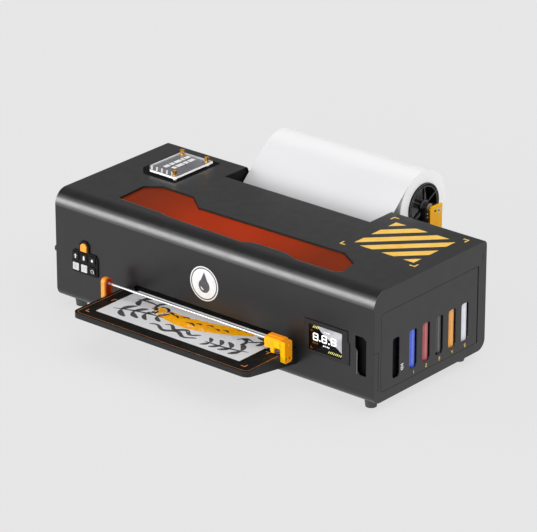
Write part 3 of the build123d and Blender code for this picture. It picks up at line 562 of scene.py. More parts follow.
class CASE_OT_window(PrinterOperator):
    """The tinted sight window with its painted shade and edge highlight, its frame and a painted highlight
    line along the front edge of its opening
    """

    bl_idname = "film_printer.window"
    bl_label = "Sight window"

    pane_light_x = -10.0
    # Path of the painted highlight along the opening's front edge.
    edge_highlight_path = [
        (261, -112), (249, -123), (165, -123.5), (136, -113), (66, -113), (45, -124), (-131, -119.5),
        (-149, -114.5), (-252, -111),
    ]

    def build(self):
        colour = tuple(settings().accent.pane)
        pane = Finish("orange_acrylic", colour, 0.16, specular=0.04, alpha=0.88)
        pane.mottle(srgb(150, 44, 4), 90, 0.5).gloss(0.12, 0.22, 30)
        # Painted shade: the pane darkens towards both ends, away from a light band near x = -10 mm.
        off_pane_light = pane.math("ABSOLUTE", pane.math("SUBTRACT", pane.place("X"), self.pane_light_x * MM))
        pane.blend_to(srgb(120, 42, 8), pane.remap(off_pane_light, 0.07, 0.21, 0.0, 0.85))
        # Painted highlight: the pane's edge faces are mixed to a bright orange.
        up = pane.facing("Z")
        rim = pane.remap(pane.math("ABSOLUTE", up), 0.2, 0.9, 1.0, 0.0)
        pane.blend_to(srgb(255, 120, 40), rim)
        paint(pane, "window_lid")
        paint(black_plastic("window_frame_black", 30, 0.5), "window_frame")
        paint(bright_steel("arm_steel", 170, 0.32), "lid_arms")

        # Painted highlight: a light metallic line along the front edge of the opening.
        lit = Finish("opening_edge_highlight", srgb(150, 140, 136), 0.25, metallic=0.5)
        lit.mottle(srgb(96, 92, 90), 20, 0.7).gloss(0.2, 0.35, 10)
        with modelled("opening_edge_highlight", lit, "printer", "charcoal_paint", on_top()) as bm:
            ribbon(bm, self.edge_highlight_path, [0.7] * len(self.edge_highlight_path), BURY + 0.05)


class CASE_OT_name_plate(PrinterOperator):
    """The clear plate at the left of the top: pad, hatch, plain blocks and three gold thumb nuts"""

    bl_idname = "film_printer.name_plate"
    bl_label = "Clear plate"

    pad_corners = [(-316, 26), (-296, 5), (-222, 5), (-222, 132), (-316, 132)]
    nut_places = ((-291, 106), (-233, 107), (-233, 19))

    def build(self):
        low, high = span("name_plate")
        clear = Finish("clear_acrylic", srgb(150, 150, 156), 0.12, specular=0.5, alpha=0.5)
        clear.mottle(srgb(112, 112, 120), 40, 0.6).gloss(0.08, 0.18, 20)
        # Painted highlight: the plate's side faces are mixed to white, made less clear and given a faint
        # glow.
        side = clear.remap(clear.math("ABSOLUTE", clear.facing("Z")), 0.3, 0.9, 1.0, 0.0)
        clear.blend_to(srgb(250, 250, 250), side)
        clear.link(clear.remap(side, 0.0, 1.0, 0.5, 0.96), "Alpha")
        clear.glow(srgb(250, 250, 250), clear.math("MULTIPLY", side, 0.35))
        paint(clear, "name_plate")

        pad = black_plastic("pad_black", 7, 0.7, 0.12)
        with modelled("plate_pad", pad, "printer", "black_plastic", on_top()) as bm:
            slab(bm, self.pad_corners, BURY + 0.5, 2.5)

        white = white_ink("plate_white")
        with modelled("plate_marks", white, "printer", "clear_acrylic", on_top(z=high.z)) as bm:
            for i in range(5):
                x = low.x + 2.5 + i * 12.0
                slab(bm, [(x, low.y + 17), (x + 3.6, low.y + 17), (x + 16, low.y + 2), (x + 12.4, low.y + 2)],
                     PRINTED)
            for row, blocks in enumerate(((13, 9, 16, 6, 12), (8, 18, 9, 14))):
                y = low.y + 26 + row * 5
                x = low.x + 22 + row * 15
                for length in blocks:
                    plate(bm, x, x + 9, y, y + length, PRINTED)
                    y += length + 3
            plate(bm, low.x + 1.6, low.x + 3.2, low.y + 22, high.y - 6, PRINTED)

        gold = Finish("gold_nuts", srgb(250, 206, 118), 0.24, metallic=1.0)
        gold.mottle(srgb(196, 128, 40), 2.2, 0.5).gloss(0.18, 0.36, 1.5).grain(0.4, 0.25, 0.03)
        with modelled("thumb_nuts", gold, "printer", "clear_acrylic", smooth=28) as bm:
            for x, y in self.nut_places:
                with placed(bm, on_top(x, y, high.z)):
                    puck(bm, 4.7, 1.2, z=-BURY, edge=0.3)
                    puck(bm, 2.8, 3.2, z=1.0)
                    self.knurled_head(bm, 4.5, 5.4, 3.8)

    def knurled_head(self, bm, r, height, z):
        """A round head with a rib on every other side, and a socket in its top."""
        before = set(bm.faces)
        puck(bm, r - 0.35, height, z=z, segments=36)
        made = [f for f in bm.faces if f not in before]
        sides = sorted(
            (f for f in made if abs(f.normal.z) < 0.5), key=lambda f: math.atan2(f.normal.y, f.normal.x))
        ribs = bmesh.ops.extrude_discrete_faces(bm, faces=sides[::2])["faces"]
        for rib in ribs:
            bmesh.ops.translate(bm, vec=rib.normal * 0.35, verts=rib.verts)
        top = max((f for f in bm.faces if f not in before), key=lambda f: f.calc_center_median().z)
        bmesh.ops.inset_individual(bm, faces=[top], thickness=1.6, depth=0)
        bmesh.ops.inset_individual(bm, faces=[top], thickness=0.2, depth=-1.6)


class CASE_OT_stripes(PrinterOperator):
    """The yellow stripes and corner marks at the right of the top"""

    bl_idname = "film_printer.stripes"
    bl_label = "Hazard stripes"

    left, right, front, rear = 196.0, 329.5, -6.0, 116.0
    marks = ((178.5, -20.5, 1, 1), (178, 134, 1, -1), (343, 133.8, -1, -1), (341.8, -19.5, -1, 1))

    def build(self):
        accent = settings().accent
        yellow = Finish("hazard_yellow", tuple(accent.hazard), 0.4, specular=0.4)
        yellow.mottle(srgb(240, 186, 70), 24, 0.55).gloss(0.34, 0.5, 12).grain(0.9, 0.12, 0.02)

        middle = Vector(((self.left + self.right) / 2, (self.front + self.rear) / 2))
        half_diagonal = ((self.right - self.left) + (self.rear - self.front)) / math.sqrt(8)
        pitch, width = accent.stripe_pitch, accent.stripe_width
        bands = [(side * pitch * (k + 0.5), width) for side in (-1, 1) for k in range(2)]
        corner_start = pitch * 2.5 - width * 0.5
        corner_width = half_diagonal - corner_start + 1
        bands += [(side * (corner_start + corner_width / 2), corner_width) for side in (-1, 1)]
        with modelled("hazard_stripes", yellow, "printer", "orange_metal", on_top()) as bm:
            for offset, band in bands:
                self.band(bm, middle, offset, band, half_diagonal)
            for x, y, to_x, to_y in self.marks:
                corner_mark(bm, x, y, to_x, to_y, 12, 2.8, PRINTED)

    def band(self, bm, middle, offset, band, reach):
        """One stripe: a long diagonal plate cut back to the rectangle."""
        old = set(bm.verts)
        across = Vector((1, -1)).normalized()
        along = Vector((1, 1)).normalized()
        corners = [
            middle + across * (offset + s * band / 2) + along * t * reach
            for s, t in ((-1, -1), (1, -1), (1, 1), (-1, 1))]
        slab(bm, [tuple(c) for c in corners], PRINTED)
        for point, normal in (
            ((self.left, 0, 0), (-1, 0, 0)), ((self.right, 0, 0), (1, 0, 0)),
            ((0, self.front, 0), (0, -1, 0)), ((0, self.rear, 0), (0, 1, 0)),
        ):
            geom = [v for v in bm.verts if v not in old]
            geom += [g for group in (bm.edges, bm.faces) for g in group if g.verts[0] not in old]
            cut = bmesh.ops.bisect_plane(
                bm, geom=geom, dist=0.001, plane_co=point, plane_no=normal, clear_outer=True)
            edges = [g for g in cut["geom_cut"] if isinstance(g, bmesh.types.BMEdge)]
            if edges:
                bmesh.ops.holes_fill(bm, edges=edges)


class CASE_OT_badge(PrinterOperator):
    """A plain round badge with a drop on the front"""

    bl_idname = "film_printer.badge"
    bl_label = "Round badge"

    badge_x, badge_z, badge_r = -12.0, 121.5, 32.0

    def build(self):
        white = Finish("badge_white", srgb(240, 240, 240), 0.42)
        white.mottle(srgb(222, 222, 224), 9, 0.5).gloss(0.36, 0.5, 7).grain(0.8, 0.1, 0.02)
        grey = Finish("badge_grey", srgb(74, 74, 78), 0.45)
        grey.mottle(srgb(96, 96, 100), 6, 0.6).gloss(0.4, 0.52, 5)
        place = on_front(self.badge_x, self.badge_z)
        r = self.badge_r

        with modelled("badge_disc", white, "printer", "white_keycap", place) as bm:
            puck(bm, r, BURY + 0.3, z=-BURY, segments=72, edge=0.1)

        with modelled("badge_marks", grey, "printer", "black_plastic", place) as bm:
            washer(bm, r - 2.2, r - 4.4, 0.2, z=0.15, segments=72)
            self.drop(bm, 12.5, 3.0)

        with modelled("badge_glint", white_ink("badge_glint_white"), "printer", "white_keycap", place) as bm:
            ribbon(bm, [(7.4 * math.cos(a), 7.4 * math.sin(a) - 4.5) for a in
                        (math.radians(195 + 10 * i) for i in range(8))],
                   [0.6, 1.6, 2.2, 2.4, 2.4, 2.2, 1.6, 0.6], 0.2, z=0.2)

    def drop(self, bm, r, shift):
        """A drop: a round foot drawn out to a point."""
        tip = 2.1 * r
        points = []
        steps = 28
        for i in range(steps + 1):
            a = math.radians(-90 + (i / steps - 0.5) * 284)
            points.append((r * math.cos(a), r * math.sin(a) - shift - 1.5))
        points.append((0, tip - shift - 1.5))
        slab(bm, points, 0.2, z=0.15)


class CASE_OT_keys(PrinterOperator):
    """The key plate, the seven keys and the marks on six of them"""

    bl_idname = "film_printer.keys"
    bl_label = "Keys"

    def build(self):
        paint(black_plastic("key_plate_black", 7, 0.55, 0.2), "key_plate")
        paint(black_plastic("key_black", 9, 0.35, 0.3), "button_1", "button_2", "button_3", "button_6")
        cap = Finish("light_key", srgb(214, 214, 214), 0.4).mottle(srgb(190, 190, 192), 6, 0.5)
        cap.gloss(0.34, 0.5, 4).grain(0.6, 0.15, 0.02)
        paint(cap, "button_4", "button_5")
        lit = Finish("lit_key", srgb(255, 178, 60), 0.35).mottle(srgb(255, 142, 24), 8, 0.6)
        lit.gloss(0.28, 0.42, 4).glow(srgb(255, 160, 40), 0.12)
        paint(lit, "power_button")

        marks = {1: self.up_mark, 2: self.bar_mark, 3: self.dot_mark, 6: self.turn_mark}
        for number, draw in marks.items():
            self.mark(number, draw, white_ink("key_%d_white" % number))
        grey = Finish("key_grey", srgb(150, 150, 152), 0.5).mottle(srgb(130, 130, 132), 3).gloss(0.4, 0.6, 3)
        for number in (4, 5):
            self.mark(number, self.lines_mark, grey)

    def mark(self, number, draw, finish):
        low, high = span("button_%d" % number)
        place = on_front((low.x + high.x) / 2, (low.z + high.z) / 2, low.y)
        with modelled("key_mark_%d" % number, finish, "key_%d" % number, "white_keycap", place) as bm:
            draw(bm)

    def up_mark(self, bm):
        slab(bm, [(-3.2, 0.4), (3.2, 0.4), (0, 4.4)], PRINTED, 0.3)
        plate(bm, -1.5, 1.5, -4.2, -0.4, PRINTED, 0.3)

    def bar_mark(self, bm):
        plate(bm, -1.9, 1.9, -3.9, 3.9, PRINTED, 0.5)

    def dot_mark(self, bm):
        puck(bm, 2.5, PRINTED, z=-BURY, segments=24)

    def turn_mark(self, bm):
        """A ring broken at one side, with an arrow head at the break."""
        angles = [math.radians(-20 + 15 * i) for i in range(19)]
        path = [(3.1 * math.cos(a), 3.1 * math.sin(a)) for a in angles]
        ribbon(bm, path, [0.9] * len(path), PRINTED)
        slab(bm, [(1.2, -3.6), (4.2, -3.6), (3.0, -0.8)], PRINTED)

    def lines_mark(self, bm):
        for y in (-2.6, 0, 2.6):
            plate(bm, -3.4, 3.4, y - 0.35, y + 0.35, BURY + 0.05)


class CASE_OT_display(PrinterOperator):
    """The display: glass, figures, bars, hatches and a painted reflection"""

    bl_idname = "film_printer.display"
    bl_label = "Display"

    def build(self):
        paint(black_plastic("display_plate_black", 24, 0.45, 0.4), "display_plate")
        gap = Finish("display_gap", srgb(6, 6, 6), 0.8, specular=0.1).mottle(srgb(14, 14, 14), 3)
        low, high = span("display_plate")
        with modelled("display_gap", gap, "printer", "charcoal_paint", on_front()) as bm:
            path = [
                (high.x + 0.5, low.z - 0.5), (high.x + 0.5, 100.9), (high.x - 3.5, 104.9),
                (high.x - 3.5, high.z + 0.5), (low.x - 0.5, high.z + 0.5)]
            ribbon(bm, path, [1.3] * len(path), BURY + 0.05)
            plate(bm, low.x, high.x + 0.5, low.z - 1.0, low.z, BURY + 0.05)
        glass = Finish("screen_glass", srgb(8, 8, 9), 0.08, specular=0.12)
        glass.mottle(srgb(26, 12, 6), 26, 0.6).gloss(0.05, 0.12, 12)
        paint(glass, "display_screen")
        y = span("display_screen")[0].y
        self.place = on_front(0, 0, y)

        # Painted reflection: a pale, glowing patch over the upper right of the screen stands for the glass
        # reflecting a bright light.
        pale = Finish("screen_painted_reflection", srgb(150, 151, 154), 0.25)
        pale.mottle(srgb(196, 197, 200), 22, 0.8).gloss(0.18, 0.3, 8)
        pale.glow(srgb(150, 151, 154), 0.35)
        self.graphic("screen_painted_reflection", pale, self.painted_reflection_part, 0.02)
        lit = Finish("screen_white", srgb(245, 245, 245), 0.3).mottle(srgb(228, 230, 232), 3, 0.5)
        lit.glow(srgb(250, 250, 250), 0.45)
        self.graphic("screen_figures", lit, self.figures, 0.08)
        warm = Finish("screen_orange", srgb(150, 84, 36), 0.3).mottle(srgb(120, 60, 22), 3)
        self.graphic("screen_orange_bars", warm, self.warm_bars, 0.06)
        green = Finish("screen_yellow", srgb(222, 226, 120), 0.3).mottle(srgb(190, 200, 80), 3)
        green.glow(srgb(222, 226, 110), 0.3)
        self.graphic("screen_hatches", green, self.hatches, 0.06)

    def graphic(self, name, finish, draw, lift):
        self.lift = BURY + lift
        with modelled(name, finish, "printer", "smoked_glass", self.place) as bm:
            draw(bm)

    # The outline of the painted reflection.
    def painted_reflection_part(self, bm):
        slab(bm, [
            (240, 114.6), (250, 105), (262, 98), (289, 82), (295.8, 76.5), (295.8, 114.6),
        ], self.lift)

    def figures(self, bm):
        for x, z in ((238.1, 92.9), (256.9, 93.2), (277.1, 93.6)):
            digit(bm, 8, x, z, 14.5, 12.0, 2.6, self.lift)
        for x in (247.6, 267.2):
            puck(bm, 1.7, self.lift, x, 87.6, -BURY, segments=16)
        for i, length in enumerate((3.2, 2.2, 3.0, 2.4)):
            plate(bm, 254.4 + 3.9 * i, 254.4 + 3.9 * i + length * 0.85, 79.4, 81.8, self.lift)
        for i in range(3):
            plate(bm, 256 + 4.6 * i, 259.2 + 4.6 * i, 105.8, 107.4, self.lift)

    def warm_bars(self, bm):
        for i, length in enumerate((3.4, 2.4, 3.0)):
            plate(bm, 231.8 + 4.2 * i, 231.8 + 4.2 * i + length * 0.9, 80.0, 82.6, self.lift)
        corner_mark(bm, 227.2, 69.6, 1, 1, 4.2, 1.3, self.lift)
        plate(bm, 227.2, 231.2, 102.4, 103.8, self.lift)

    def hatches(self, bm):
        for start, count, low, high, step in ((231.5, 4, 108.6, 113.2, 3.4), (265.5, 8, 70.2, 74.6, 3.7)):
            for i in range(count):
                x = start + i * step
                slab(bm, [(x, low), (x + 1.5, low), (x + 4.0, high), (x + 2.5, high)], self.lift)


class TRAY_OT_tray(PrinterOperator):
    """The film tray with its black top, orange line and corner marks"""

    bl_idname = "film_printer.tray"
    bl_label = "Film tray"

    marks = ((-187, -272.5, 1, 1), (-182, -202, 1, -1), (178.5, -272.5, -1, 1), (174, -200, -1, -1))

    def build(self):
        case = settings().case
        tray = Finish("tray_paint", tuple(c * 0.8 for c in case.paint), 0.4, specular=0.35)
        tray.mottle(tuple(c * 1.3 for c in case.paint), 40, 0.5)
        tray.gloss(0.34, 0.48, 18).grain(0.9, 0.15, 0.02)
        paint(tray, "film_tray")

        low, high = span("film_tray")
        mat = Finish("tray_top_black", srgb(13, 12, 10), 0.5, specular=0.1)
        mat.mottle(srgb(26, 23, 19), 30, 0.5).gloss(0.42, 0.6, 14).grain(0.9, 0.2, 0.02)
        with modelled("tray_top", mat, "printer", "black_plastic", on_top(z=high.z)) as bm:
            outline = self.rounded_front(low.x + 0.8, high.x - 0.8, low.y + 0.8, FRONT_Y - 0.2, 12.2)
            slab(bm, outline, BURY + 0.06)
        orange = Finish("tray_orange", srgb(190, 122, 70), 0.4).mottle(srgb(120, 66, 32), 14, 0.7)
        orange.gloss(0.34, 0.46, 8)
        with modelled("tray_line", orange, "printer", "orange_plastic", on_top(z=high.z)) as bm:
            path = self.rounded_front(low.x + 6, high.x - 3.5, low.y + 4.5, FRONT_Y - 6, 9.0)
            ribbon(bm, path, [0.9] * len(path), BURY + 0.1)

        bright = Finish("tray_marks", srgb(222, 146, 76), 0.4)
        bright.mottle(srgb(190, 104, 44), 6).gloss(0.35, 0.45, 6)
        with modelled("tray_marks", bright, "printer", "orange_plastic", on_top(z=high.z)) as bm:
            for x, y, to_x, to_y in self.marks:
                corner_mark(bm, x, y, to_x, to_y, 9, 1.7, BURY + 0.11)

    def rounded_front(self, left, right, front, rear, r):
        """From the rear left round both front corners to the rear right."""
        path = [(left, rear)]
        for x, start in ((left + r, 180), (right - r, 270)):
            for i in range(7):
                a = math.radians(start + 15 * i)
                path.append((x + r * math.cos(a), front + r + r * math.sin(a)))
        return path + [(right, rear)]


class TRAY_OT_cutter(PrinterOperator):
    """The orange cutter with its rod, blade, wheels and trim; painted light on the head, trim and rod, and
    painted shade on the brackets
    """

    bl_idname = "film_printer.cutter"
    bl_label = "Cutter"

    shaded_orange = srgb(176, 58, 10)
    left_half = (-0.1, -0.05)
    left_inside = (-0.2006, -0.1994)
    # Where the painted shade patch sits on the left bracket's right face.
    pocket_y, pocket_z, pocket_floor = 8.75, 68.5, 9.0
    shade_patch_half = (6.5, 19.2)
    slot_ys = (-196.0, -187.5)
    slot_z, slot_depth = 55.4, 3.0
    wheels = ((3.6, 65.6), (13.2, 64.8))

    def build(self):
        accent = tuple(settings().accent.orange)
        head = moulded_orange("head_orange", accent)
        # Painted light: the head glows faintly in its own orange.
        head.glow(srgb(255, 176, 16), 0.16)
        paint(head, "cutter_head")
        brackets = moulded_orange("bracket_orange", accent)
        # Painted light: the left bracket's front faces are mixed to a paler orange.
        left_only = brackets.remap(brackets.place("X"), *self.left_half, 1.0, 0.0)
        front = brackets.toward("Y", -0.9, -0.5, 0.6, 0.0)
        brackets.blend_to(srgb(226, 148, 78), brackets.math("MULTIPLY", left_only, front))
        # Painted shade: the left bracket's inner part is mixed to a shaded orange.
        painted_inner_shade = brackets.remap(brackets.place("X"), *self.left_inside, 0.0, 0.95)
        brackets.blend_to(self.shaded_orange, brackets.math("MULTIPLY", left_only, painted_inner_shade))
        paint(brackets, "cutter_brackets")
        rod = bright_steel("rod_steel", 250, 0.2)
        # Painted light: the rod glows faintly white.
        rod.glow(srgb(250, 250, 250), 0.22)
        paint(rod, "cutter_rod")
        paint(black_plastic("guide_black", 3, 0.6, 0.06), "exit_guide_rod")
        paint(bright_steel("blade_steel", 210, 0.2, (1, 1, 1)), "cutter_blade")

        low, high = span("cutter_head")
        steel = bright_steel("cutter_fittings", 215, 0.25, (1, 1, 1))
        with modelled("cutter_wheels", steel, "cutter", "steel") as bm:
            for x, z in self.wheels:
                with placed(bm, on_front(low.x + x, z, low.y + 3)):
                    puck(bm, 2.3, 3.4, z=-2, edge=0.4)
                    puck(bm, 0.9, 4.2, z=-2)

        trim = moulded_orange("orange_trim", srgb(255, 186, 10))
        # Painted light: the trim glows faintly in its own orange.
        trim.glow(srgb(255, 176, 16), 0.12)
        with modelled("cutter_trim", trim, "cutter", "orange_plastic") as bm:
            with placed(bm, on_top(z=high.z)):
                plate(bm, low.x + 3, high.x - 3, low.y + 10.8, high.y - 4, 0.6, 1.5)
            with placed(bm, on_front(0, 0, low.y)):
                plate(bm, low.x + 3, low.x + 20, 73.5, 83, 0.5, 1.5)

        low, high = span("cutter_brackets")
        # Painted shade: a dark orange patch on the left bracket's right face stands for the shade in its
        # hollow.
        deep = Finish("bracket_shade_orange", srgb(172, 52, 8), 0.45, specular=0.25)
        deep.mottle(srgb(130, 34, 6), 10, 0.6).gloss(0.4, 0.52, 6)
        pocket = on_right(low.y + self.pocket_y, self.pocket_z, low.x + self.pocket_floor)
        with modelled("bracket_painted_shade", deep, "printer", "orange_plastic", pocket) as bm:
            half_w, half_h = self.shade_patch_half
            plate(bm, -half_w, half_w, -half_h, half_h, BURY + 0.15, 4.2)
        # Painted shade: dark blocks set in the bracket's two slots on the right stand for the shade inside
        # them.
        dark = black_plastic("slot_shade_black", 12, 0.6, 0.2)
        with modelled("bracket_slot_shade", dark, "printer", "black_plastic") as bm:
            for y in self.slot_ys:
                with placed(bm, on_right(y, self.slot_z, high.x - self.slot_depth)):
                    plate(bm, -1.55, 1.55, -2.35, 2.35, BURY + 2.0)


class FILM_OT_film(PrinterOperator):
    """The film, its roll with wound ends, and the spool"""

    bl_idname = "film_printer.film"
    bl_label = "Film and roll"

    base_shade, patch_shade, line_shade = 0.85, 0.8, 0.72
    turn_mm = 1.1
    stud_r = 39.4

    def build(self):
        colour = tuple(settings().film.film)
        film, roll = self.film_finish("film", colour), self.film_finish("film_wound", colour)
        paint(film, "film_web")

        axle_low, axle_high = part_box("roll_axle")
        from_axle = roll.placed_coords(move=-(axle_low + axle_high) / 2)
        squares = [roll.math("POWER", roll.part(from_axle, axis), 2) for axis in ("Y", "Z")]
        radius = roll.math("SQRT", roll.math("ADD", *squares))
        turns = roll.math("SINE", roll.math("MULTIPLY", radius, math.tau / (self.turn_mm * MM)))
        # Painted light: faces turning from the front towards the top and back are mixed whiter, so the roll
        # is lightest at its top.
        roll.blend_to(srgb(255, 255, 255), roll.toward("Y", -0.6, 0.3, 0.0, 1.0))
        # Painted light: the end faces are mixed near white and, below, given a faint glow; the wound rings on
        # them are the film's own.
        end_face = roll.remap(roll.math("ABSOLUTE", roll.facing("X")), 0.6, 0.9, 0.0, 1.0)
        roll.blend_to(srgb(250, 250, 250), end_face)
        lines = roll.math("MULTIPLY", roll.remap(turns, -1, 1, 0, 0.16), end_face)
        roll.blend_to(tuple(c * self.line_shade for c in colour), lines)
        roll.relief(lines, 0.3, 0.1)
        # Painted light: the end faces glow faintly.
        roll.glow(srgb(250, 250, 250), roll.math("MULTIPLY", end_face, 0.12))
        paint(roll, "film_roll")

        spool = black_plastic("spool_black", 4, 0.5, 0.1)
        paint(spool, "spool_flanges")
        paint(bright_steel("axle_steel", 120, 0.35), "roll_axle")
        low, high = span("spool_flanges")
        # Painted highlight: the rims and ribs on each flange are a light grey, standing for the light they
        # catch.
        grey = black_plastic("spool_rim_highlight_grey", 84, 0.3)
        with modelled("spool_rims", grey, "roll", "black_plastic") as bm:
            for end in both_ends(low, high, (low.y + high.y) / 2, (low.z + high.z) / 2):
                with placed(bm, end):
                    self.rims_and_ribs(bm)

    def film_finish(self, name, colour):
        finish = Finish(name, tuple(c * self.base_shade for c in colour), 0.38, specular=0.3)
        finish.mottle(tuple(c * self.patch_shade for c in colour), 60, 0.5, (0.3, 1, 1))
        return finish.gloss(0.32, 0.44, 30)

    def rims_and_ribs(self, bm):
        """Two rims, the hub's ring, three studs and a rib along each spoke."""
        washer(bm, 42.4, 41.2, 0.5 + BURY, segments=64)
        washer(bm, 37.6, 36.4, 0.4 + BURY, segments=64)
        washer(bm, 12.2, 8.8, 1.2 + BURY)
        for i in range(6):
            with placed(bm, Matrix.Rotation(math.radians(30 + 60 * i), 4, "Z")):
                plate(bm, 12.0, 36.6, -0.5, 0.5, 0.4 + BURY)
                if i % 2 == 0:
                    puck(bm, 1.5, 0.9, self.stud_r, 0, -BURY, edge=0.3)


class FILM_OT_print(PrinterOperator):
    """A print of leaves, waves and a yellow band on the film in the tray, with a painted shadow line and a
    painted light strip on the film at the slot
    """

    bl_idname = "film_printer.print"
    bl_label = "Print on the film"

    film_left, film_right = -171.5, 155.5

    def build(self):
        self.random = random.Random(settings().film.print_seed)
        self.film_z = span("film_web")[0].z + 0.3
        dark = Finish("print_dark", srgb(44, 44, 46), 0.5)
        dark.mottle(srgb(80, 80, 82), 4, 0.9).gloss(0.42, 0.6, 6)
        yellow = Finish("print_yellow", srgb(255, 182, 0), 0.5, specular=0.2)
        yellow.mottle(srgb(246, 150, 0), 9, 0.7).gloss(0.4, 0.55, 6)
        black = Finish("print_black", srgb(22, 20, 20), 0.45)
        black.mottle(srgb(44, 40, 38), 3, 0.6).gloss(0.4, 0.6, 4)
        self.layer("print_band", yellow, self.band, 0.05)
        # Painted shadow and painted light on the film at the slot's mouth.
        self.layer("film_painted_shadow", black, self.painted_shadow_line, 0.05)
        pale = white_ink("film_light_white")
        pale.glow(srgb(240, 240, 240), 0.4)
        self.layer("film_painted_light", pale, self.painted_light_line, 0.05)
        self.layer("print_leaves", dark, self.leaves, 0.07)
        self.layer("print_flecks_black", black, self.black_flecks, 0.09)
        self.layer("print_flecks_white", white_ink("print_white"), self.white_flecks, 0.11)

    def layer(self, name, finish, draw, lift):
        self.lift = BURY + lift
        with modelled(name, finish, "printer", "film", on_top(z=self.film_z)) as bm:
            draw(bm)

    def swell(self, bm, steps, place, width, edge, power):
        """A stroke whose place and width follow t from 0 to 1; it thins towards its ends."""
        shares = [i / steps for i in range(steps + 1)]
        humps = [math.sin(math.pi * (edge + (1 - 2 * edge) * t)) ** power for t in shares]
        ribbon(bm, [place(t) for t in shares], [width() * hump for hump in humps], self.lift)

    def stroke(self, bm, start, end, bow, width, rough=0.12, steps=14):
        """A brush stroke from start to end, bowed to one side, full in the middle and ragged."""
        a, b = Vector(start), Vector(end)
        side = Vector((-(b - a).y, (b - a).x)) * bow
        self.swell(
            bm, steps, lambda t: tuple(a.lerp(b, t) + side * math.sin(math.pi * t)),
            lambda: width * (1 + self.random.uniform(-rough, rough)), 0.06, 0.7)

    def band(self, bm):
        """A broad yellow swell across the middle."""
        self.swell(
            bm, 36, lambda t: (-104 + 212 * t, -178 - 20 * math.sin(math.pi * t * 1.2 + 0.2)),
            lambda: 40 * (1 + self.random.uniform(-0.05, 0.05)), 0.04, 0.6)

    def painted_shadow_line(self, bm):
        """A painted shadow: a dark line across the film in the mouth of the slot."""
        plate(bm, self.film_left, self.film_right, -155.8, -152.4, self.lift)

    def painted_light_line(self, bm):
        """Painted light: a glowing white strip across the film, between the guide rod and the painted shadow
        line.
        """
        plate(bm, self.film_left, self.film_right, -151.5, -147.8, self.lift)

    def sprig(self, bm, root, tip, pairs, length, width):
        """A stem with pairs of leaves."""
        a, b = Vector(root), Vector(tip)
        self.stroke(bm, root, tip, 0.05, 5.0)
        heading = math.atan2((b - a).y, (b - a).x)
        for i in range(pairs):
            t = 0.16 + 0.72 * i / max(1, pairs - 1)
            at = a.lerp(b, t)
            for side in (-1, 1):
                angle = heading + side * math.radians(52 + self.random.uniform(-8, 8))
                reach = length * (1.0 - 0.35 * t)
                end = at + Vector((math.cos(angle), math.sin(angle))) * reach
                self.stroke(bm, tuple(at), tuple(end), side * 0.12, width * (1 - 0.3 * t))

    def leaves(self, bm):
        self.sprig(bm, (-158, -232), (-62, -208), 4, 33, 11.5)
        self.sprig(bm, (-150, -176), (-98, -176), 2, 26, 11.0)
        self.sprig(bm, (146, -224), (58, -236), 4, 28, 10.5)
        self.sprig(bm, (146, -168), (112, -196), 2, 24, 10.0)
        for x, y, length in ((-64, -242, 104), (-40, -228, 78)):
            self.wave(bm, x, y, length)

    def wave(self, bm, x, y, length):
        """A rolling line."""
        self.swell(
            bm, 20, lambda t: (x + length * t, y + 5.5 * math.sin(2.2 * math.tau * t)),
            lambda: 8.0 * self.random.uniform(0.85, 1.1), 0.05, 0.5)

    def black_flecks(self, bm):
        for i in range(9):
            x = -74 + i * 18 + self.random.uniform(-3, 3)
            y = -180 - 16 * math.sin(math.pi * (i / 9) * 1.2 + 0.2) + self.random.uniform(-7, 8)
            self.stroke(bm, (x, y), (x + self.random.uniform(12, 22), y + self.random.uniform(-4, 4)), 0.2,
                        self.random.uniform(3.5, 6.5), 0.3, 8)
        for start, end in (
                ((-96, -176), (-70, -186)), ((96, -196), (124, -186)), ((-104, -190), (-84, -206))):
            self.stroke(bm, start, end, 0.25, 5.5, 0.3, 10)

    def white_flecks(self, bm):
        for centre_x, centre_y, count in ((-86, -192, 16), (92, -204, 12), (10, -214, 8)):
            for _ in range(count):
                x = centre_x + self.random.uniform(-17, 17)
                y = centre_y + self.random.uniform(-13, 13)
                turn = self.random.uniform(0, math.pi)
                reach = self.random.uniform(3, 8)
                end = (x + reach * math.cos(turn), y + reach * math.sin(turn))
                self.stroke(bm, (x, y), end, 0.15, self.random.uniform(0.8, 1.8), 0.3, 5)


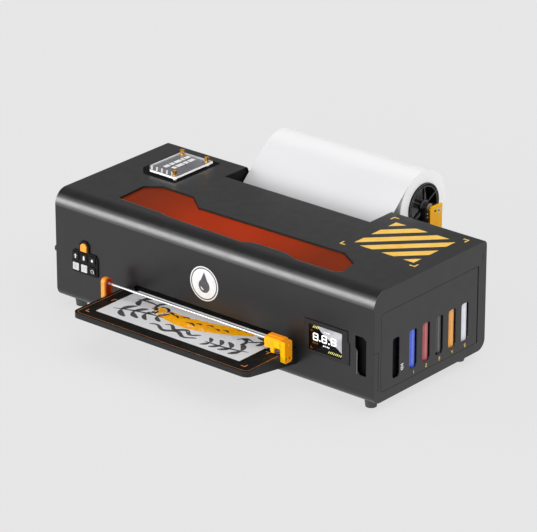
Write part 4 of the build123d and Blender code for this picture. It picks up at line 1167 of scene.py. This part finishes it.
class INK_OT_tanks(PrinterOperator):
    """The five inks behind the sight slots, and the numbers under them"""

    bl_idname = "film_printer.ink"
    bl_label = "Ink tanks"

    # Strength of the inks' painted glow, and how far behind each tank's middle its painted highlight band
    # starts.
    glow = 0.35
    highlight_offset = 1.2
    number_z = 25.6
    waste_y, waste_bars = -78.5, ((41, 6.0), (44.2, 8.0), (47.4, 5.4), (50.6, 7.4))
    inks = (
        ("blue", (44, 74, 198), (34, 58, 164)), ("red", (156, 58, 66), (126, 38, 44)),
        ("black", (30, 30, 32), (12, 12, 12)), ("yellow", (214, 146, 44), (186, 112, 22)),
        ("white", (206, 206, 214), (182, 182, 192)),
    )

    def build(self):
        for number, (name, light, deep) in enumerate(self.inks, 1):
            ink = Finish("ink_" + name, srgb(*light), 0.2, specular=0.5, coat=0.25)
            ink.mottle(srgb(*deep), 18, 0.7).gloss(0.14, 0.28, 8)
            # Painted highlight: faces turned towards the rear are mixed to a pale near-white.
            painted_edge_highlight = ink.toward("Y", 0.15, 0.6, 0.0, 0.45)
            ink.blend_to(srgb(236, 232, 226), painted_edge_highlight)
            # Painted shade: faces turned towards the front are mixed to near black.
            ink.blend_to(srgb(14, 12, 12), ink.toward("Y", -0.8, -0.3, 0.9, 0.0))
            # Painted highlight: the tank's rear part, from just behind its middle, is mixed paler.
            low, high = span("ink_tank_%d" % number)
            highlight_start = (TO_ROW @ Vector((0, (low.y + high.y) / 2 + self.highlight_offset, 0))).y
            past_highlight_start = ink.math("SUBTRACT", ink.place("Y"), highlight_start)
            pale = srgb(*[(c + 255) // 2 for c in light])
            ink.blend_to(pale, ink.remap(past_highlight_start, 0.0, 0.4 * MM, 0.0, 0.4))
            # Painted light: faces turned outwards glow in the ink's colour.
            painted_glow_share = ink.toward("X", 0.3, 0.9, 0.0, self.glow)
            ink.glow(srgb(*light), painted_glow_share)
            paint(ink, "ink_tank_%d" % number)

        gold = Finish("figure_gold", srgb(240, 208, 110), 0.45).mottle(srgb(216, 178, 76), 2, 0.5)
        gold.gloss(0.4, 0.55, 3)
        with modelled("tank_numbers", gold, "side_door", "orange_metal") as bm:
            for number in range(1, len(self.inks) + 1):
                low, high = span("ink_tank_%d" % number)
                with placed(bm, on_right((low.y + high.y) / 2 + 1.0, self.number_z)):
                    digit(bm, number, 0, 0, 7.0, 4.8, 1.6, BURY + 0.12)

        white = white_ink("waste_white")
        with modelled("waste_mark", white, "side_door", "white_keycap", on_right(self.waste_y)) as bm:
            for z, length in self.waste_bars:
                plate(bm, -length / 2, length / 2, z, z + 2.1, BURY + 0.12)

        bottle = Finish("waste_bottle", srgb(4, 4, 4), 0.5, specular=0.1)
        bottle.mottle(srgb(9, 9, 9), 14).gloss(0.45, 0.6, 8)
        # Painted highlight: faces turned towards the rear are mixed to grey.
        bottle.blend_to(srgb(70, 72, 72), bottle.toward("Y", 0.15, 0.6, 0.0, 0.5))
        paint(bottle, "waste_bottle")


class INNER_OT_works(PrinterOperator):
    """Rollers, rails, carriage, drive, boards and power supply"""

    bl_idname = "film_printer.works"
    bl_label = "Print works"

    def build(self):
        steel = bright_steel("works_steel", 176, 0.32)
        paint(steel, "guide_rail", "guide_shaft", "frame_plates", "motor_pulley", "idler_pulley")
        paint(bright_steel("motor_steel", 120, 0.4, (1, 1, 1)), "motors")
        zinc = Finish("zinc_plate", srgb(150, 152, 156), 0.4, metallic=0.9)
        zinc.mottle(srgb(104, 106, 110), 8, 0.8).gloss(0.3, 0.5, 5)
        paint(zinc, "power_supply")
        paint(black_plastic("works_black", 30, 0.45), "platen", "cap_station", "carriage", "drive_belt")
        head = Finish("head_plate", srgb(190, 190, 194), 0.25, metallic=1.0)
        head.mottle(srgb(150, 150, 154), 6).gloss(0.2, 0.32, 4)
        paint(head, "print_head")
        rubber = Finish("roller_rubber", srgb(52, 52, 54), 0.7, specular=0.3)
        rubber.mottle(srgb(74, 74, 76), 8, 0.5, (0.2, 1, 1)).gloss(0.62, 0.8, 6).grain(0.5, 0.3, 0.05)
        paint(rubber, "feed_roller", "pinch_roller", "exit_roller")
        board = Finish("board_green", srgb(18, 92, 54), 0.4, specular=0.5)
        board.mottle(srgb(10, 60, 36), 6, 0.8, (1, 4, 1)).gloss(0.3, 0.5, 4)
        paint(board, "circuit_boards")


class REAR_OT_fittings(PrinterOperator):
    """Roll arms and their screws, mains inlet, power switch and knob"""

    bl_idname = "film_printer.rear"
    bl_label = "Rear fittings"

    pins = ((237.0, 177.0), (237.0, 170.5))
    ear_screw = (264.0, 176.8)
    arm_t = 4.0
    axle_place = (244.0, 186.6)

    def build(self):
        orange = Finish("arm_orange", srgb(255, 190, 8), 0.38, specular=0.2)
        orange.mottle(srgb(255, 168, 0), 26, 0.6).gloss(0.32, 0.46, 14).grain(0.9, 0.15, 0.02)
        # Painted shade: faces turned towards the front are mixed to a dark brown.
        orange.blend_to(srgb(110, 56, 8), orange.toward("Y", -0.9, -0.4, 0.8, 0.0))
        paint(orange, "roll_arms")
        paint(black_plastic("inlet_black", 24, 0.5), "mains_inlet", "power_switch")
        paint(black_plastic("knob_black", 20, 0.4), "power_knob")

        low, high = span("roll_arms")
        dark = bright_steel("screw_steel", 90, 0.35, (1, 1, 1))
        with modelled("arm_screws", dark, "printer", "steel") as bm:
            for x in (high.x - 8, low.x + 8):
                for z in (low.z + 9, low.z + 29):
                    with placed(bm, on_rear(x, z, REAR_Y + 3)):
                        screw(bm, 4.2, 2.2)

        light = bright_steel("pin_steel", 225, 0.25, (1, 1, 1))
        saddles, inlet = span("axle_saddles"), span("mains_inlet")
        ears = both_ends(*saddles, *self.ear_screw, self.arm_t)
        with modelled("rear_pins", light, "printer", "steel") as bm:
            for x in (inlet[0].x + 3, inlet[1].x - 3):
                with placed(bm, on_rear(x, (inlet[0].z + inlet[1].z) / 2, inlet[1].y)):
                    screw(bm, 1.9, 1.0)
            for pin in self.pins:
                for end in both_ends(*saddles, *pin):
                    with placed(bm, end):
                        puck(bm, 1.5, 0.9, z=-BURY, edge=0.3)
            for end in ears:
                with placed(bm, end):
                    puck(bm, 4.2, 1.2, z=-BURY, edge=0.4)
        with modelled("ear_sockets", black_plastic("socket_black", 10, 0.5, 0.2), "printer", "steel") as bm:
            for end in ears:
                with placed(bm, end):
                    puck(bm, 2.0, 1.5, z=-BURY, edge=0.2)

        ring = bright_steel("ring_steel", 190, 0.35, (1, 1, 1))
        with modelled("axle_rings", ring, "roll", "steel") as bm:
            for end in both_ends(*span("roll_axle"), *self.axle_place):
                with placed(bm, end):
                    washer(bm, 7.6, 6.3, 0.3 + BURY)
                    washer(bm, 3.6, 2.6, 0.3 + BURY)


class STAGE_OT_stage(PrinterOperator):
    """Pale floor, softboxes and the camera"""

    bl_idname = "film_printer.stage"
    bl_label = "Stage"

    camera_place = (3.7899, -4.5207, 2.6420)
    camera_turn = (66.86, 0.0, 39.97)
    lens_mm = 243.15
    floor_lit, floor_m = 0.86, 20
    front_headings, front_box_rise = (-128, -165, -95, -62), 12.8
    front_box_inner, front_box_outer = 8.0, 24.0
    rear_box, rear_box_inner, rear_box_outer = (-0.594, 0.709, 0.36), 8.0, 42.0
    top_box, top_box_inner, top_box_outer = (0.35, 0.15, 0.92), 22.0, 50.0

    def build(self):
        stage = settings().stage
        floor_paint = Finish("floor", tuple(c * (1 - self.floor_lit) for c in stage.floor), 0.9, specular=0.0)
        floor_paint.mottle(tuple(c * 0.99 * (1 - self.floor_lit) for c in stage.floor), 900, 0.4)
        floor_paint.glow(tuple(stage.floor), self.floor_lit)
        bm = bmesh.new()
        bmesh.ops.create_grid(bm, x_segments=4, y_segments=4, size=self.floor_m)
        mesh = bpy.data.meshes.new("floor")
        bm.to_mesh(mesh)
        bm.free()
        mesh.materials.append(floor_paint.material)
        floor = bpy.data.objects.new("floor", mesh)
        bpy.context.scene.collection.objects.link(floor)

        self.surroundings(stage)

        camera = bpy.data.objects.new("camera", bpy.data.cameras.new("camera"))
        camera.data.sensor_width = 36
        camera.data.lens = self.lens_mm
        camera.data.clip_end = 100
        camera.location = self.camera_place
        camera.rotation_euler = [math.radians(a) for a in self.camera_turn]
        bpy.context.scene.collection.objects.link(camera)
        bpy.context.scene.camera = camera

    def surroundings(self, stage):
        """A dim studio: low softboxes in front, a broad one overhead and a soft glow behind, far off."""
        world = bpy.data.worlds.new("surroundings")
        world.use_nodes = True
        nodes, links = world.node_tree.nodes, world.node_tree.links
        direction = nodes.new("ShaderNodeTexCoord").outputs["Generated"]
        total = None
        boxes = [
            (self.top_box, self.top_box_inner, self.top_box_outer, stage.fill),
            (self.rear_box, self.rear_box_inner, self.rear_box_outer, stage.rear),
        ]
        for heading in self.front_headings:
            a = math.radians(heading)
            aim = (math.cos(a), math.sin(a), math.tan(math.radians(self.front_box_rise)))
            boxes.append((aim, self.front_box_inner, self.front_box_outer, stage.key))
        for aim, inner, outer, strength in boxes:
            facing = nodes.new("ShaderNodeVectorMath")
            facing.operation = "DOT_PRODUCT"
            links.new(direction, facing.inputs[0])
            facing.inputs[1].default_value = Vector(aim).normalized()
            fall = nodes.new("ShaderNodeMapRange")
            fall.interpolation_type = "SMOOTHSTEP"
            fall.inputs["From Min"].default_value = math.cos(math.radians(outer))
            fall.inputs["From Max"].default_value = math.cos(math.radians(inner))
            fall.inputs["To Max"].default_value = strength
            links.new(facing.outputs["Value"], fall.inputs["Value"])
            add = nodes.new("ShaderNodeMath")
            add.inputs[0].default_value = stage.sky
            if total is not None:
                links.new(total, add.inputs[0])
            links.new(fall.outputs["Result"], add.inputs[1])
            total = add.outputs["Value"]
        links.new(total, nodes["Background"].inputs["Strength"])
        nodes["Background"].inputs["Color"].default_value = (1, 1, 1, 1)
        bpy.context.scene.world = world
        bpy.context.scene.view_settings.view_transform = "Standard"


OPERATORS = (
    CASE_OT_panels, CASE_OT_window, CASE_OT_name_plate, CASE_OT_stripes, CASE_OT_badge, CASE_OT_keys,
    CASE_OT_display, TRAY_OT_tray, TRAY_OT_cutter, FILM_OT_film, FILM_OT_print, INK_OT_tanks, INNER_OT_works,
    REAR_OT_fittings, STAGE_OT_stage,
)


class VIEW3D_PT_film_printer(bpy.types.Panel):
    """Lists the printer's operators"""

    bl_label = "Film printer"
    bl_space_type = "VIEW_3D"
    bl_region_type = "UI"
    bl_category = "Film printer"

    def draw(self, context):
        for group in (settings().case, settings().accent, settings().film, settings().stage):
            box = self.layout.box()
            for name in group.__annotations__:
                box.prop(group, name)
        for operator in OPERATORS:
            self.layout.operator(operator.bl_idname)


CLASSES = (
    CaseSettings, AccentSettings, FilmSettings, StageSettings, PrinterSettings, *OPERATORS,
    VIEW3D_PT_film_printer,
)


def register():
    for item in CLASSES:
        bpy.utils.register_class(item)
    bpy.types.Scene.film_printer = PointerProperty(type=PrinterSettings)


def unregister():
    del bpy.types.Scene.film_printer
    for item in reversed(CLASSES):
        bpy.utils.unregister_class(item)


def main():
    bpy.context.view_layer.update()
    register()
    for operator in OPERATORS:
        group, name = operator.bl_idname.split(".")
        getattr(getattr(bpy.ops, group), name)()


if __name__ == "__main__":
    main()
